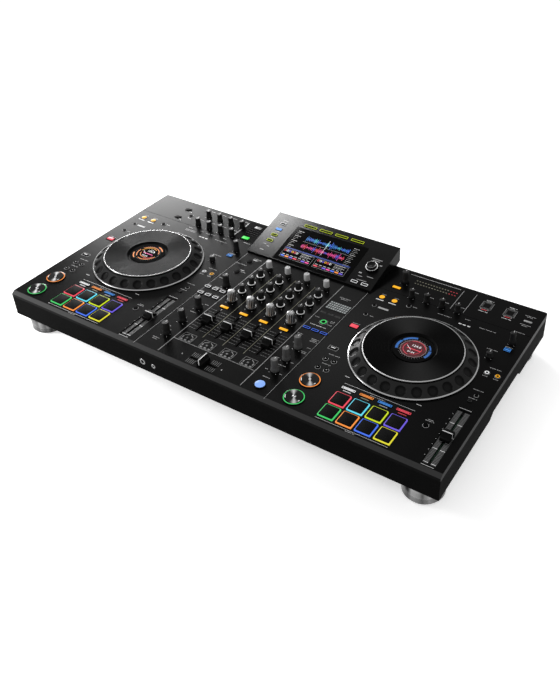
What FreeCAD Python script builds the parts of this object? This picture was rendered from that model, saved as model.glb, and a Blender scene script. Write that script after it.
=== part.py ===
import FreeCAD, Part
import math
import os

import Sketcher
from FreeCAD import Placement, Rotation, Vector

# All-in-one console for mixing music: two jog wheel decks, a four channel mixer between them and a
# raised touch screen behind the mixer. Millimetres, +Z up, the front towards -Y. The origin lies on
# the floor under the middle of the overall width and depth. A size that ends in from_front, from_back or
# from_side is measured from that edge of the case, one that ends in from_jog to the side from the rim of
# the deck's jog wheel, one that ends in behind_jog or before_jog from its axis, and one that ends in
# from_mixer or in_mixer from the seam beside the mixer.

doc = FreeCAD.newDocument("console")
sheet = doc.addObject("Spreadsheet::Sheet", "Sizes")

SIZES = {
    # case
    "side_height": 49.7,
    "corner_radius": 4,
    "case_wall": 3,
    "case_floor": 2.5,
    "skirt_height": 10,
    "panel_thickness": 4,
    "bevel_depth": 6.8,
    "bevel_drop": 4.5,
    "front_margin": 10,
    "flange_depth": 10,
    "grip_from_front": 188,
    "grip_length": 130,
    "grip_slope": 12,
    "grip_rise": 9.7,
    "grip_reach": 34,
    # feet
    "foot_height": 33,
    "foot_radius": 33.5,
    "foot_side_inset": 6.7,
    "foot_end_inset": 3.5,
    "foot_sole_height": 4,
    "foot_neck_step": 6.5,
    "foot_neck_height": 4,
    # fields of the top panel, from the middle to the side and from the front to the back
    "mixer_half_width": 137.5,
    "play_to_mixer": 37.6,
    "tempo_to_side": 25.4,
    "jog_to_mode_keys": 16.2,
    "jog_to_strip": 39.2,
    "strip_depth": 80.5,
    "seam_width": 0.8,
    "seam_drop": 0.6,
    # screen housing
    "housing_overlap": 2.1,
    "housing_depth": 104,
    "housing_lip": 4,
    "housing_rise": 33.5,
    "housing_overhang": 13.5,
    "housing_wall": 3,
    "housing_roof": 6,
    "housing_back_drop": 29,
    "hollow_from_lip": 14,
    "glass_side_margin": 57.1,
    "glass_length": 94,
    "glass_thickness": 2.5,
    "glass_proud": 0.6,
    "glass_from_lip": 2.5,
    "glass_shift": 1.5,
    "glass_gap": 0.2,
    # jog wheels
    "jog_gap": 0.6,
    "jog_foot_radius": 107.8,
    "jog_foot_height": 3,
    "jog_foot_ledge": 3,
    "jog_slope_foot": 4.6,
    "jog_slope_width": 18.3,
    "jog_shoulder": 2,
    "jog_height": 19.4,
    "jog_edge": 0.5,
    "platter_thickness": 3.4,
    "rim_wall": 4.2,
    "rim_ledge": 6.5,
    "dimple_count": 24,
    "dimple_radius": 10,
    "dimple_sink": 2.2,
    "display_radius": 34,
    "display_thickness": 1.6,
    "display_sink": 2.8,
    "display_gap": 0.6,
    "display_margin": 2.6,
    "display_well_slope": 3.4,
    "display_overlap": 1.4,
    "hub_flange_width": 15.4,
    "hub_flange_thickness": 2.4,
    "turning_gap": 0.3,
    "bush_wall": 4,
    # knobs
    "stem_radius": 3,
    "stem_clearance": 0.5,
    "stem_reach": 7,
    "knob_gap": 0.6,
    "channel_pitch": 43,
    "colour_behind_cue_key": 23.3,
    "low_behind_colour": 30.5,
    "mid_behind_low": 29.5,
    "high_behind_mid": 29,
    "trim_behind_high": 29,
    "skirt_radius": 7.2,
    "skirt_top": 7,
    "grip_radius": 5.6,
    "grip_taper": 0.4,
    "eq_height": 18,
    "trim_skirt_radius": 6.4,
    "trim_waist_radius": 5,
    "trim_cap_radius": 5.9,
    "trim_height": 20,
    "colour_skirt_radius": 9.2,
    "colour_skirt_height": 4.5,
    "colour_grip_radius": 7.6,
    "colour_height": 22,
    "flute_count": 10,
    "flute_radius": 1.6,
    "side_skirt_radius": 7.4,
    "side_knob_height": 24,
    "effect_column_in_mixer": 24.5,
    "effect_select_from_front": 136,
    "effect_time_from_front": 101,
    "effect_level_from_front": 68,
    "monitor_column_in_mixer": 33.5,
    "depth_behind_keys": 31.8,
    "parameter_from_front": 140,
    "cue_mix_from_front": 95,
    "phones_level_from_front": 53,
    "master_from_mixer": 41.5,
    "master_from_back": 40,
    # buttons
    "play_from_jog": 6.1,
    "play_from_front": 30,
    "cue_from_front": 76,
    "play_radius": 18.4,
    "play_cap_radius": 15.8,
    "play_ring_height": 1.4,
    "play_cap_height": 2.8,
    "effect_on_from_front": 26.5,
    "effect_on_radius": 9.6,
    "effect_on_cap_radius": 8.4,
    "effect_on_height": 4,
    "button_plunger_radius": 6,
    "button_gap": 0.35,
    "button_travel": 0.8,
    # pads
    "pad_width": 27.5,
    "pad_length": 28.5,
    "pad_side_space": 4.75,
    "pad_end_space": 3.5,
    "pads_shift": 1.3,
    "pads_from_front": 46,
    "pad_height": 2.5,
    "pad_corner": 2,
    "mat_thickness": 1.4,
    "mat_drop": 0.4,
    # sliders
    "tempo_from_jog": 17,
    "tempo_from_front": 75,
    "tempo_well_width": 22,
    "tempo_well_length": 126,
    "tempo_well_depth": 2,
    "tempo_travel": 100,
    "tempo_cap_width": 16,
    "tempo_cap_length": 22,
    "tempo_cap_height": 9,
    "fader_from_front": 118,
    "fader_travel": 60,
    "fader_cap_width": 17,
    "fader_cap_length": 24,
    "fader_cap_height": 12,
    "fader_gap": 0.9,
    "cross_from_front": 24,
    "cross_travel": 45,
    "cross_cap_width": 22,
    "cross_cap_length": 14,
    "lever_thickness": 2,
    "lever_length": 8,
    "lever_clearance": 0.6,
    # selector on the screen housing
    "dial_from_housing_side": 24.6,
    "dial_from_lip": 52,
    "dial_radius": 12,
    "dial_cap_radius": 9.4,
    "dial_height": 11,
    # keys of the decks
    "left_key_from_jog": 16.4,
    "right_key_from_jog": 19.2,
    "loop_key_behind_jog": 122.7,
    "loop_key_pitch": 25.4,
    "mode_button_behind_jog": 93,
    "deck_button_behind_jog": 62,
    "quantize_behind_jog": 21.5,
    "shift_before_jog": 48.2,
    "search_from_jog": 4.8,
    "search_before_jog": 90.5,
    "search_pitch_x": 16.1,
    "search_pitch_y": 24,
    "mode_key_from_front": 88.5,
    "slip_behind_jog": 94,
    "sync_behind_jog": 23.7,
    "sync_pitch": 18,
    "range_before_jog": 35,
    "reset_from_tempo": 36.8,
    "reset_from_front": 79.6,
    "cue_mark_key_from_axis": 70,
    "lock_before_jog": 51.5,
    "lock_in_from_range": 4,
    "speed_dial_from_axis": 107.4,
    "speed_dial_behind_jog": 64.3,
    "key_height": 1.4,
    # keys of the mixer, the back strip and the screen housing
    "cue_key_behind_fader": 15.7,
    "assign_from_front": 62,
    "colour_key_in_mixer": 23.2,
    "colour_key_pitch_x": 17.2,
    "colour_key_pitch_y": 21.6,
    "colour_key_from_front": 189.2,
    "beat_key_from_front": 189,
    "tap_key_from_front": 216.5,
    "booth_key_from_mixer": 36,
    "booth_key_from_back": 64.6,
    "input_key_from_mixer": 36.9,
    "input_key_from_back": 63.6,
    "source_key_from_side": 87.2,
    "source_key_from_back": 48.6,
    "source_key_pitch": 35.2,
    "pair_key_from_source": 21.3,
    "menu_key_from_side": 21.2,
    "menu_key_from_back": 42.3,
    "aux_key_from_back": 19,
    "select_key_from_front": 267,
    "select_key_pitch": 40.5,
    "view_key_pitch": 36.2,
    "view_key_behind_glass": 8.5,
    "page_key_from_housing_side": 27.1,
    "page_key_pitch": 16.8,
    "page_key_from_lip": 41.4,
    "back_key_from_housing_side": 28.1,
    "back_key_pitch": 21.5,
    "back_key_from_lip": 9,
    # knobs of the back strip
    "input_knob_from_mixer": 112.3,
    "input_knob_pitch_x": 29.5,
    "input_knob_pitch_y": 36,
    "input_knob_from_back": 51,
    "output_knob_from_mixer": 118.3,
    "output_knob_pitch": 30,
    "output_knob_from_back": 76,
    "strip_knob_radius": 6,
    "strip_knob_height": 16,
    "jog_feel_behind_jog": 116.5,
    # boards and supply under the panel
    "control_gap": 0.3,
    "control_height": 8,
    "control_width": 11,
    "board_thickness": 1.6,
    "pillar_radius": 4,
    "pillar_inset": 6,
    "mixer_board_side_inset": 6.5,
    "mixer_board_front_inset": 14,
    "mixer_board_back_inset": 6,
    "deck_board_side_margin": 17.2,
    "deck_board_front_inset": 8,
    "deck_board_back_margin": 12,
    "strip_board_from_mixer": 22.5,
    "strip_board_from_side": 29.2,
    "strip_board_from_back": 15,
    "strip_board_length": 74,
    "supply_width": 130,
    "supply_length": 90,
    "supply_height": 24,
    "supply_from_side": 119.2,
    "supply_from_back": 90,
    # sockets
    "phones_x": 118,
    "mini_x": 93.5,
    "phones_drop": 32,
    "phones_bore_radius": 3.25,
    "mini_bore_radius": 1.8,
    "phones_collar": 2.6,
    "socket_gap": 0.15,
    "memory_from_side": 78.5,
    "memory_pitch": 43.5,
    "memory_from_back": 44,
    "memory_slot_width": 12.6,
    "memory_slot_length": 5,
    "memory_wall": 1.2,
    "rear_socket_height": 20,
    "rear_socket_depth": 20,
    "main_out_from_side": 156.2,
    "main_out_pitch": 34,
    "booth_out_from_main": 71,
    "booth_out_pitch": 24,
    "voice_in_from_side": 125.2,
    "voice_in_pitch": 28,
    "balanced_radius": 12,
    "balanced_bore_radius": 9.4,
    "balanced_proud": 1,
    "jack_radius": 6,
    "jack_proud": 1.5,
    "line_pitch_x": 62,
    "line_pitch_z": 18,
    "line_radius": 4.15,
    "line_bore_radius": 1.6,
    "line_proud": 9,
    "line_depth": 12,
    "mains_from_side": 44.2,
    "mains_width": 30,
    "mains_height": 24,
    "mains_depth": 18,
    "network_from_side": 70.2,
    "network_width": 19,
    "network_height": 16,
    "network_depth": 16,
    "computer_from_side": 44.2,
    "computer_width": 16,
    "computer_height": 15,
    "computer_depth": 14,
    "switch_from_side": 89.2,
    "switch_width": 15,
    "switch_height": 10,
    "switch_frame_wall": 1.5,
    "switch_depth": 10,
    "switch_pin_radius": 1,
    "switch_pin_drop": 1.5,
    "switch_tilt": 7,
}


class Size:
    """A length with its present value and the expression that keeps it bound to the sheet."""

    def __init__(self, value, text):
        self.value = value
        self.text = text

    def __add__(self, other):
        return Size(self.value + value_of(other), f"({self.text} + {text_of(other)})")

    def __sub__(self, other):
        return Size(self.value - value_of(other), f"({self.text} - {text_of(other)})")

    def __mul__(self, other):
        return Size(self.value * value_of(other), f"({self.text} * {text_of(other)})")

    def __truediv__(self, other):
        return Size(self.value / value_of(other), f"({self.text} / {text_of(other)})")

    def __radd__(self, other):
        return plain(other) + self

    def __rsub__(self, other):
        return plain(other) - self

    def __rmul__(self, other):
        return self * other

    def __neg__(self):
        return self * -1


def plain(number):
    """A number that belongs to one piece alone, as a Size."""
    return Size(number, f"({number})" if number < 0 else str(number))


def value_of(size):
    return size.value if isinstance(size, Size) else size


def text_of(size):
    return size.text if isinstance(size, Size) else plain(size).text


def root(size):
    return Size(math.sqrt(size.value), f"sqrt({size.text})")


class Lengths:
    """Every cell of the sheet as a Size, under its alias."""


s = Lengths()
for row, (alias, number) in enumerate(SIZES.items(), start=1):
    sheet.set(f"A{row}", alias.replace("_", " "))
    sheet.set(f"B{row}", str(number))
    sheet.setAlias(f"B{row}", alias)
    setattr(s, alias, Size(number, f"Sizes.{alias}"))
doc.recompute()


# Bindings and plain solids

def bind(thing, path, size):
    thing.setExpression(path, text_of(size))


def place(thing, x, y, z):
    for axis, size in (("x", x), ("y", y), ("z", z)):
        bind(thing, f"Placement.Base.{axis}", size)
    return thing


def block(name, x, y, z, length, width, height):
    """A box by its middle in X and Y and its bottom in Z."""
    box = doc.addObject("Part::Box", name)
    bind(box, "Length", length)
    bind(box, "Width", width)
    bind(box, "Height", height)
    return place(box, x - length * 0.5, y - width * 0.5, z)


def rod(name, x, y, z, radius, height):
    cylinder = doc.addObject("Part::Cylinder", name)
    bind(cylinder, "Radius", radius)
    bind(cylinder, "Height", height)
    return place(cylinder, x, y, z)


def rod_along_y(name, x, y, z, radius, length):
    """A cylinder from y towards the back."""
    cylinder = rod(name, x, y, z, radius, length)
    cylinder.Placement = Placement(Vector(), Rotation(Vector(1, 0, 0), -90))
    return place(cylinder, x, y, z)


def group(name, pieces):
    compound = doc.addObject("Part::Compound", name)
    compound.Links = pieces
    return compound


def union(name, pieces):
    fusion = doc.addObject("Part::MultiFuse", name)
    fusion.Shapes = pieces
    fusion.Refine = True
    return fusion


def cut(name, base, tools):
    difference = doc.addObject("Part::Cut", name)
    difference.Base = base
    difference.Tool = group(name + "_openings", tools)
    return difference


# Bodies made from sketches

def new_body(name):
    return doc.addObject("PartDesign::Body", name)


def origin_part(body, role):
    """A plane or an axis of the body's own origin."""
    return next(feature for feature in body.Origin.OriginFeatures if feature.Role == role)


def outline(body, name, role, polygons, offset=None):
    """A sketch of closed outlines of straight lines, each a list of pairs of sizes."""
    sketch = body.newObject("Sketcher::SketchObject", name)
    sketch.AttachmentSupport = [(origin_part(body, role), "")]
    sketch.MapMode = "FlatFace"
    if offset is not None:
        bind(sketch, "AttachmentOffset.Base.z", offset)
    first = 0
    for points in polygons:
        corners = [Vector(value_of(x), value_of(y), 0) for x, y in points]
        count = len(corners)
        for index in range(count):
            sketch.addGeometry(Part.LineSegment(corners[index], corners[(index + 1) % count]))
        for index in range(count):
            end = first + (index + 1) % count
            sketch.addConstraint(Sketcher.Constraint("Coincident", first + index, 2, end, 1))
        for index, point in enumerate(points, start=first):
            for kind, size in zip(("DistanceX", "DistanceY"), point):
                number = sketch.addConstraint(Sketcher.Constraint(kind, -1, 1, index, 1, value_of(size)))
                sketch.setExpression(f"Constraints[{number}]", text_of(size))
        first += count
    return sketch


def rectangle(x, y, length, width):
    return [
        (x - length * 0.5, y - width * 0.5),
        (x + length * 0.5, y - width * 0.5),
        (x + length * 0.5, y + width * 0.5),
        (x - length * 0.5, y + width * 0.5),
    ]


def feature_of(kind, body, name, sketch, length, midplane=False, reverse=False):
    feature = body.newObject(f"PartDesign::{kind}", name)
    feature.Profile = sketch
    feature.Midplane = midplane
    feature.Reversed = reverse
    bind(feature, "Length", length)
    return feature


def pad(body, name, sketch, length, midplane=False, reverse=False):
    return feature_of("Pad", body, name, sketch, length, midplane, reverse)


def pocket(body, name, sketch, length, midplane=False, reverse=False):
    return feature_of("Pocket", body, name, sketch, length, midplane, reverse)


def polar(body, name, feature, count):
    pattern = body.newObject("PartDesign::PolarPattern", name)
    pattern.Originals = [feature]
    pattern.Axis = (origin_part(body, "Z_Axis"), [""])
    pattern.Angle = 360
    bind(pattern, "Occurrences", count)
    body.Tip = pattern
    return pattern


def turned(name, profile, x, y, z):
    """A turned piece on a vertical axis, from its half section of radius and height."""
    body = new_body(name)
    sketch = outline(body, name + "_section", "XZ_Plane", [profile])
    turning = body.newObject("PartDesign::Revolution", name + "_turning")
    turning.Profile = sketch
    turning.ReferenceAxis = (sketch, ["V_Axis"])
    turning.Angle = 360
    return place(body, x, y, z)


def upright_edges(shape, least_height):
    """The straight vertical edges of at least that height, as numbers from one."""
    found = []
    for number, edge in enumerate(shape.Edges, start=1):
        if len(edge.Vertexes) == 2:
            run = edge.Vertexes[1].Point - edge.Vertexes[0].Point
            if abs(run.z) >= least_height and abs(run.z) > run.Length * 0.999:
                found.append(number)
    return found


# Where the main faces lie

play_from_axis = s.jog_foot_radius + s.play_from_jog
tempo_from_axis = s.jog_foot_radius + s.tempo_from_jog
jog_x = s.mixer_half_width + s.play_to_mixer + play_from_axis
half_width = jog_x + tempo_from_axis + s.tempo_to_side
housing_half_width = s.mixer_half_width + s.housing_overlap
jog_from_front = s.mode_key_from_front + s.jog_to_mode_keys + s.jog_foot_radius
strip_from_front = jog_from_front + s.jog_foot_radius + s.jog_to_strip
body_depth = strip_from_front + s.strip_depth
housing_from_front = body_depth - s.housing_depth
front_y = (body_depth + s.housing_overhang) * -0.5
back_y = front_y + body_depth
middle = half_width * 0
case_bottom = s.foot_height
panel_top = case_bottom + s.side_height
panel_under = panel_top - s.panel_thickness
seam_z = panel_top - s.skirt_height
control_top = panel_top - s.stem_reach - s.control_gap
board_top = control_top - s.control_height
through = s.panel_thickness + 2

DECKS = (("left", jog_x * -1), ("right", jog_x))
CHANNELS = [(number, s.channel_pitch * (number - 2.5)) for number in (1, 2, 3, 4)]

finished = []
panel_cuts = []
case_cuts = []
mixer_controls = []
strip_controls = []
deck_controls = {"left": [], "right": []}


def keep(thing, name):
    thing.Label = name
    finished.append(thing)
    return thing


def panel_hole(name, x, y, radius):
    panel_cuts.append(rod(name + "_hole", x, y, panel_under - 1, radius, through))


def panel_slot(name, x, y, length, width):
    panel_cuts.append(block(name + "_slot", x, y, panel_under - 1, length, width, through))


def control(name, x, y, length, width):
    """A rotary control, a slide control or a switch on a board, under the piece that works it."""
    return block(name, x, y, board_top, length, width, s.control_height)


# Knobs: a grip on a wider skirt, with a stem that passes through the panel to its rotary control

def knob_profile(skirt_radius, skirt_top, grip_radius, height):
    return [
        (middle, s.stem_reach * -1),
        (s.stem_radius, s.stem_reach * -1),
        (s.stem_radius, s.knob_gap),
        (skirt_radius, s.knob_gap),
        (skirt_radius, skirt_top),
        (grip_radius, skirt_top + s.knob_gap),
        (grip_radius - s.grip_taper, height),
        (middle, height),
    ]


def knob(name, x, from_front, profile, controls):
    y = front_y + from_front
    body = keep(turned(name, profile, x, y, panel_top), name)
    panel_hole(name, x, y, s.stem_radius + s.stem_clearance)
    controls.append(control(name + "_control", x, y, s.control_width, s.control_width))
    return body


eq_profile = knob_profile(s.skirt_radius, s.skirt_top, s.grip_radius, s.eq_height)
side_profile = knob_profile(s.side_skirt_radius, s.skirt_top, s.grip_radius, s.side_knob_height)
colour_profile = knob_profile(s.colour_skirt_radius, s.colour_skirt_height, s.colour_grip_radius,
                              s.colour_height)
trim_profile = [
    (middle, s.stem_reach * -1),
    (s.stem_radius, s.stem_reach * -1),
    (s.stem_radius, s.knob_gap),
    (s.trim_skirt_radius, s.knob_gap),
    (s.trim_waist_radius, s.skirt_top),
    (s.trim_cap_radius, s.skirt_top),
    (s.trim_cap_radius - s.grip_taper, s.trim_height),
    (middle, s.trim_height),
]

cue_key_from_front = s.fader_from_front + s.fader_travel * 0.5 + s.cue_key_behind_fader
colour_from_front = cue_key_from_front + s.colour_behind_cue_key
low_from_front = colour_from_front + s.low_behind_colour
mid_from_front = low_from_front + s.mid_behind_low
high_from_front = mid_from_front + s.high_behind_mid
trim_from_front = high_from_front + s.trim_behind_high
for number, x in CHANNELS:
    knob(f"trim_knob_{number}", x, trim_from_front, trim_profile, mixer_controls)
    knob(f"eq_high_knob_{number}", x, high_from_front, eq_profile, mixer_controls)
    knob(f"eq_mid_knob_{number}", x, mid_from_front, eq_profile, mixer_controls)
    knob(f"eq_low_knob_{number}", x, low_from_front, eq_profile, mixer_controls)

effect_x = s.mixer_half_width - s.effect_column_in_mixer
monitor_x = s.monitor_column_in_mixer - s.mixer_half_width
depth_from_front = s.colour_key_from_front + s.depth_behind_keys
for name, x, from_front, controls in (
    ("fx_select_knob", effect_x, s.effect_select_from_front, mixer_controls),
    ("fx_time_knob", effect_x, s.effect_time_from_front, mixer_controls),
    ("fx_level_knob", effect_x, s.effect_level_from_front, mixer_controls),
    ("colour_depth_knob", monitor_x, depth_from_front, mixer_controls),
    ("parameter_knob", monitor_x, s.parameter_from_front, mixer_controls),
    ("cue_mix_knob", monitor_x, s.cue_mix_from_front, mixer_controls),
    ("phones_level_knob", monitor_x, s.phones_level_from_front, mixer_controls),
    ("master_level_knob", s.mixer_half_width + s.master_from_mixer, body_depth - s.master_from_back,
     strip_controls),
):
    knob(name, x, from_front, side_profile, controls)


# Colour knobs: the same turning with flutes round the grip

for number, x in CHANNELS:
    name = f"colour_knob_{number}"
    body = knob(name, x, colour_from_front, colour_profile, mixer_controls)
    axis = s.colour_grip_radius + s.flute_radius * 0.45
    diamond = [
        (axis - s.flute_radius, middle),
        (axis, s.flute_radius * -1),
        (axis + s.flute_radius, middle),
        (axis, s.flute_radius),
    ]
    sketch = outline(body, name + "_flute", "XY_Plane", [diamond], s.colour_height)
    groove = pocket(body, name + "_groove", sketch, s.colour_height - s.colour_skirt_height - s.flute_radius)
    polar(body, name + "_grooves", groove, s.flute_count)


# Slider caps: a ridge across the middle and a slope to each lip, on a lever through the slot

def slider_cap(name, width, length, height, seat):
    """The lever slides along the cap's own Y axis. The seat is the height of the cap's underside."""
    body = new_body(name)
    half = length * 0.5
    lip = seat + (height - seat) * 0.42
    side = [
        (half * -1, seat),
        (half, seat),
        (half - 0.8, lip),
        (half * 0.4, lip + 0.6),
        (half * 0.12, height),
        (half * -0.12, height),
        (half * -0.4, lip + 0.6),
        (0.8 - half, lip),
    ]
    pad(body, name + "_cap", outline(body, name + "_side", "YZ_Plane", [side]), width, midplane=True)
    reach = s.stem_reach + seat + 0.5
    lever = rectangle(middle, seat + 0.5 - reach * 0.5, s.lever_length, reach)
    pad(body, name + "_lever", outline(body, name + "_lever_side", "YZ_Plane", [lever]), s.lever_thickness,
        midplane=True)
    return body


slot_width = s.lever_thickness + s.lever_clearance * 2
slide_width = s.control_width + 1
slot_ends = s.lever_length + s.lever_clearance * 2

for number, x in CHANNELS:
    name = f"channel_fader_{number}"
    y = front_y + s.fader_from_front
    cap = slider_cap(name, s.fader_cap_width, s.fader_cap_length, s.fader_cap_height, s.fader_gap)
    keep(place(cap, x, y, panel_top), name)
    panel_slot(name, x, y, slot_width, s.fader_travel + slot_ends)
    mixer_controls.append(control(name + "_slide", x, y, slide_width, s.fader_travel + slot_ends + 10))

cross_y = front_y + s.cross_from_front
cap = slider_cap("crossfader", s.cross_cap_width, s.cross_cap_length, s.fader_cap_height, s.fader_gap)
cap.Placement = Placement(Vector(), Rotation(Vector(0, 0, 1), 90))
keep(place(cap, middle, cross_y, panel_top), "crossfader")
panel_slot("crossfader", middle, cross_y, s.cross_travel + slot_ends, slot_width)
mixer_controls.append(control("crossfader_slide", middle, cross_y, s.cross_travel + slot_ends + 10,
                              slide_width))

tempo_wells = []
tempo_seat = s.knob_gap - s.tempo_well_depth
for side, deck_x in DECKS:
    name = f"tempo_slider_{side}"
    x = deck_x + tempo_from_axis
    y = front_y + s.tempo_from_front
    cap = slider_cap(name, s.tempo_cap_width, s.tempo_cap_length, s.tempo_cap_height, tempo_seat)
    keep(place(cap, x, y, panel_top), name)
    panel_slot(name, x, y, slot_width, s.tempo_travel + slot_ends)
    tempo_wells.append(rectangle(x, y, s.tempo_well_width, s.tempo_well_length))
    slide = control(name + "_slide", x, y, slide_width, s.tempo_travel + slot_ends + 10)
    deck_controls[side].append(slide)


# Play, cue and effect buttons: a domed cap in a ring, with a plunger over its switch

def button(name, x, from_front, radius, cap_radius, ring_height, cap_height, controls):
    y = front_y + from_front
    bottom = s.button_travel - s.stem_reach
    flange = s.knob_gap - s.panel_thickness
    profile = [
        (middle, bottom),
        (s.button_plunger_radius, bottom),
        (s.button_plunger_radius, flange),
        (radius, flange),
        (radius, ring_height),
        (cap_radius, ring_height),
        (cap_radius - 0.4, cap_height),
        (middle, cap_height + 0.3),
    ]
    keep(turned(name, profile, x, y, panel_top), name)
    panel_hole(name, x, y, radius + s.button_gap)
    controls.append(control(name + "_switch", x, y, s.control_width + 1, s.control_width + 1))


for side, deck_x in DECKS:
    for use, from_front in (("play", s.play_from_front), ("cue", s.cue_from_front)):
        button(f"{use}_button_{side}", deck_x - play_from_axis, from_front, s.play_radius, s.play_cap_radius,
               s.play_ring_height, s.play_cap_height, deck_controls[side])
button("fx_on_button", effect_x, s.effect_on_from_front, s.effect_on_radius, s.effect_on_cap_radius,
       s.effect_on_height * 0.7, s.effect_on_height, mixer_controls)


# Pads: eight blocks moulded on one mat that lies under the panel

pad_pitch_x = s.pad_width + s.pad_side_space
pad_pitch_y = s.pad_length + s.pad_end_space
for side, deck_x in DECKS:
    name = f"pads_{side}"
    middle_x = deck_x - s.pads_shift
    middle_y = front_y + s.pads_from_front
    mat_top = panel_under - s.mat_drop
    pad_rise = panel_top + s.pad_height - mat_top
    mat_width = pad_pitch_x * 4
    mat_length = pad_pitch_y * 2
    moulded = [block(name + "_mat", middle_x, middle_y, mat_top - s.mat_thickness, mat_width, mat_length,
                     s.mat_thickness)]
    for column in range(4):
        for line in range(2):
            x = middle_x + pad_pitch_x * (column - 1.5)
            y = middle_y + pad_pitch_y * (line - 0.5)
            moulded.append(block(name + "_block", x, y, mat_top, s.pad_width, s.pad_length, pad_rise))
            panel_slot(name, x, y, s.pad_width + s.button_gap * 2, s.pad_length + s.button_gap * 2)
    moulding = union(name + "_moulding", moulded)
    doc.recompute()
    rounding = doc.addObject("Part::Fillet", name)
    rounding.Base = moulding
    radius = s.pad_corner.value
    rounding.Edges = [(edge, radius, radius) for edge in upright_edges(moulding.Shape, pad_rise.value * 0.9)]
    keep(rounding, name)
    deck_controls[side].append(control(name + "_contacts", middle_x, middle_y, mat_width, mat_length))


# Jog wheels: a dimpled rim, a flat platter on it, and a fixed hub that carries the display

jog_y = front_y + jog_from_front
rim_top = s.jog_height - s.platter_thickness
slope_foot = s.jog_foot_radius - s.jog_foot_ledge
slope_top = slope_foot - s.jog_slope_width
slope_drop = rim_top - s.jog_slope_foot
slope_length = root(s.jog_slope_width * s.jog_slope_width + slope_drop * slope_drop)
top_radius = slope_top - s.jog_shoulder
hub_top = s.jog_height - s.display_sink - s.display_thickness
hub_radius = s.display_radius - s.display_overlap

rim_profile = [
    (top_radius - s.rim_ledge, rim_top),
    (top_radius - s.rim_ledge, rim_top - s.rim_wall),
    (top_radius, rim_top - s.rim_wall),
    (slope_foot - s.rim_wall, s.jog_gap),
    (s.jog_foot_radius, s.jog_gap),
    (s.jog_foot_radius, s.jog_foot_height - 0.4),
    (slope_foot + 0.6, s.jog_foot_height),
    (slope_foot, s.jog_slope_foot),
    (slope_top, rim_top),
]
bore = hub_radius + s.turning_gap
well_floor = hub_top - s.display_gap
well_foot = s.display_radius + s.display_margin
well_radius = well_foot + s.display_well_slope
platter_profile = [
    (bore, s.jog_gap + 2),
    (bore + s.bush_wall, s.jog_gap + 2),
    (bore + s.bush_wall, rim_top - 5),
    (well_radius + 6, rim_top),
    (top_radius, rim_top),
    (top_radius, s.jog_height - s.jog_edge),
    (top_radius - s.jog_edge, s.jog_height),
    (well_radius, s.jog_height),
    (well_foot, well_floor),
    (bore, well_floor),
]
panel_bottom = s.panel_thickness * -1
hub_profile = [
    (middle, panel_bottom - s.hub_flange_thickness),
    (hub_radius + s.hub_flange_width, panel_bottom - s.hub_flange_thickness),
    (hub_radius + s.hub_flange_width, panel_bottom),
    (hub_radius, panel_bottom),
    (hub_radius, hub_top),
    (middle, hub_top),
]

hubs = []
displays = []
for side, deck_x in DECKS:
    name = f"jog_rim_{side}"
    body = keep(turned(name, rim_profile, deck_x, jog_y, panel_top), name)
    ball = body.newObject("PartDesign::SubtractiveSphere", name + "_dimple")
    bind(ball, "Radius", s.dimple_radius)
    ball.AttachmentSupport = [(origin_part(body, "XY_Plane"), "")]
    ball.MapMode = "FlatFace"
    stand_off = s.dimple_radius - s.dimple_sink
    bind(ball, "AttachmentOffset.Base.x",
         slope_top + s.jog_slope_width * 0.5 + stand_off * slope_drop / slope_length)
    bind(ball, "AttachmentOffset.Base.z",
         rim_top - slope_drop * 0.5 + stand_off * s.jog_slope_width / slope_length)
    doc.recompute()
    polar(body, name + "_dimples", ball, s.dimple_count)
    keep(turned(f"jog_platter_{side}", platter_profile, deck_x, jog_y, panel_top), f"jog_platter_{side}")
    hubs.append(turned(f"hub_{side}", hub_profile, deck_x, jog_y, panel_top))
    displays.append(rod(f"display_{side}", deck_x, jog_y, panel_top + hub_top, s.display_radius,
                        s.display_thickness))
    panel_hole(f"hub_{side}", deck_x, jog_y, bore)
keep(group("hubs", hubs), "jog_hubs")
keep(group("displays", displays), "jog_displays")


# Screen housing: a wedge that slopes down to the front, hollow underneath, with the glass let in

lip_y = front_y + housing_from_front
rear_y = back_y + s.housing_overhang
rise = s.housing_rise - s.housing_lip
run = rear_y - lip_y
slant = root(run * run + rise * rise)


def roof_height(distance):
    """The height of the slope above the panel, that far behind the lip."""
    return s.housing_lip + rise * distance / run


shell = new_body("housing_shell")
side_view = [
    (lip_y, panel_top),
    (back_y, panel_top),
    (rear_y, panel_top + s.housing_rise - s.housing_back_drop),
    (rear_y, panel_top + s.housing_rise),
    (lip_y, panel_top + s.housing_lip),
]
pad(shell, "housing_wedge", outline(shell, "housing_side", "YZ_Plane", [side_view]), housing_half_width * 2,
    midplane=True)
inside_view = [
    (lip_y + s.hollow_from_lip, panel_top),
    (back_y - s.housing_wall, panel_top),
    (rear_y - s.housing_wall, panel_top + s.housing_rise - s.housing_back_drop + s.housing_wall * 0.7),
    (rear_y - s.housing_wall, panel_top + roof_height(run - s.housing_wall) - s.housing_roof),
    (lip_y + s.hollow_from_lip, panel_top + roof_height(s.hollow_from_lip) - s.housing_roof),
]
pocket(shell, "housing_hollow", outline(shell, "housing_inside", "YZ_Plane", [inside_view]),
       (housing_half_width - s.housing_wall) * 2, midplane=True)


def on_slope(thing, x, along, lift):
    """Turns a piece onto the slope: along runs up the slope from the lip, lift stands square to it."""
    tilt = math.degrees(math.atan2(rise.value, run.value))
    thing.Placement = Placement(Vector(), Rotation(Vector(1, 0, 0), tilt))
    bind(thing, "Placement.Rotation.Angle", Size(tilt, f"atan({rise.text} / {run.text})"))
    y = lip_y + along * run / slant - lift * rise / slant
    z = panel_top + s.housing_lip + along * rise / slant + lift * run / slant
    return place(thing, x, y, z)


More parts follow.
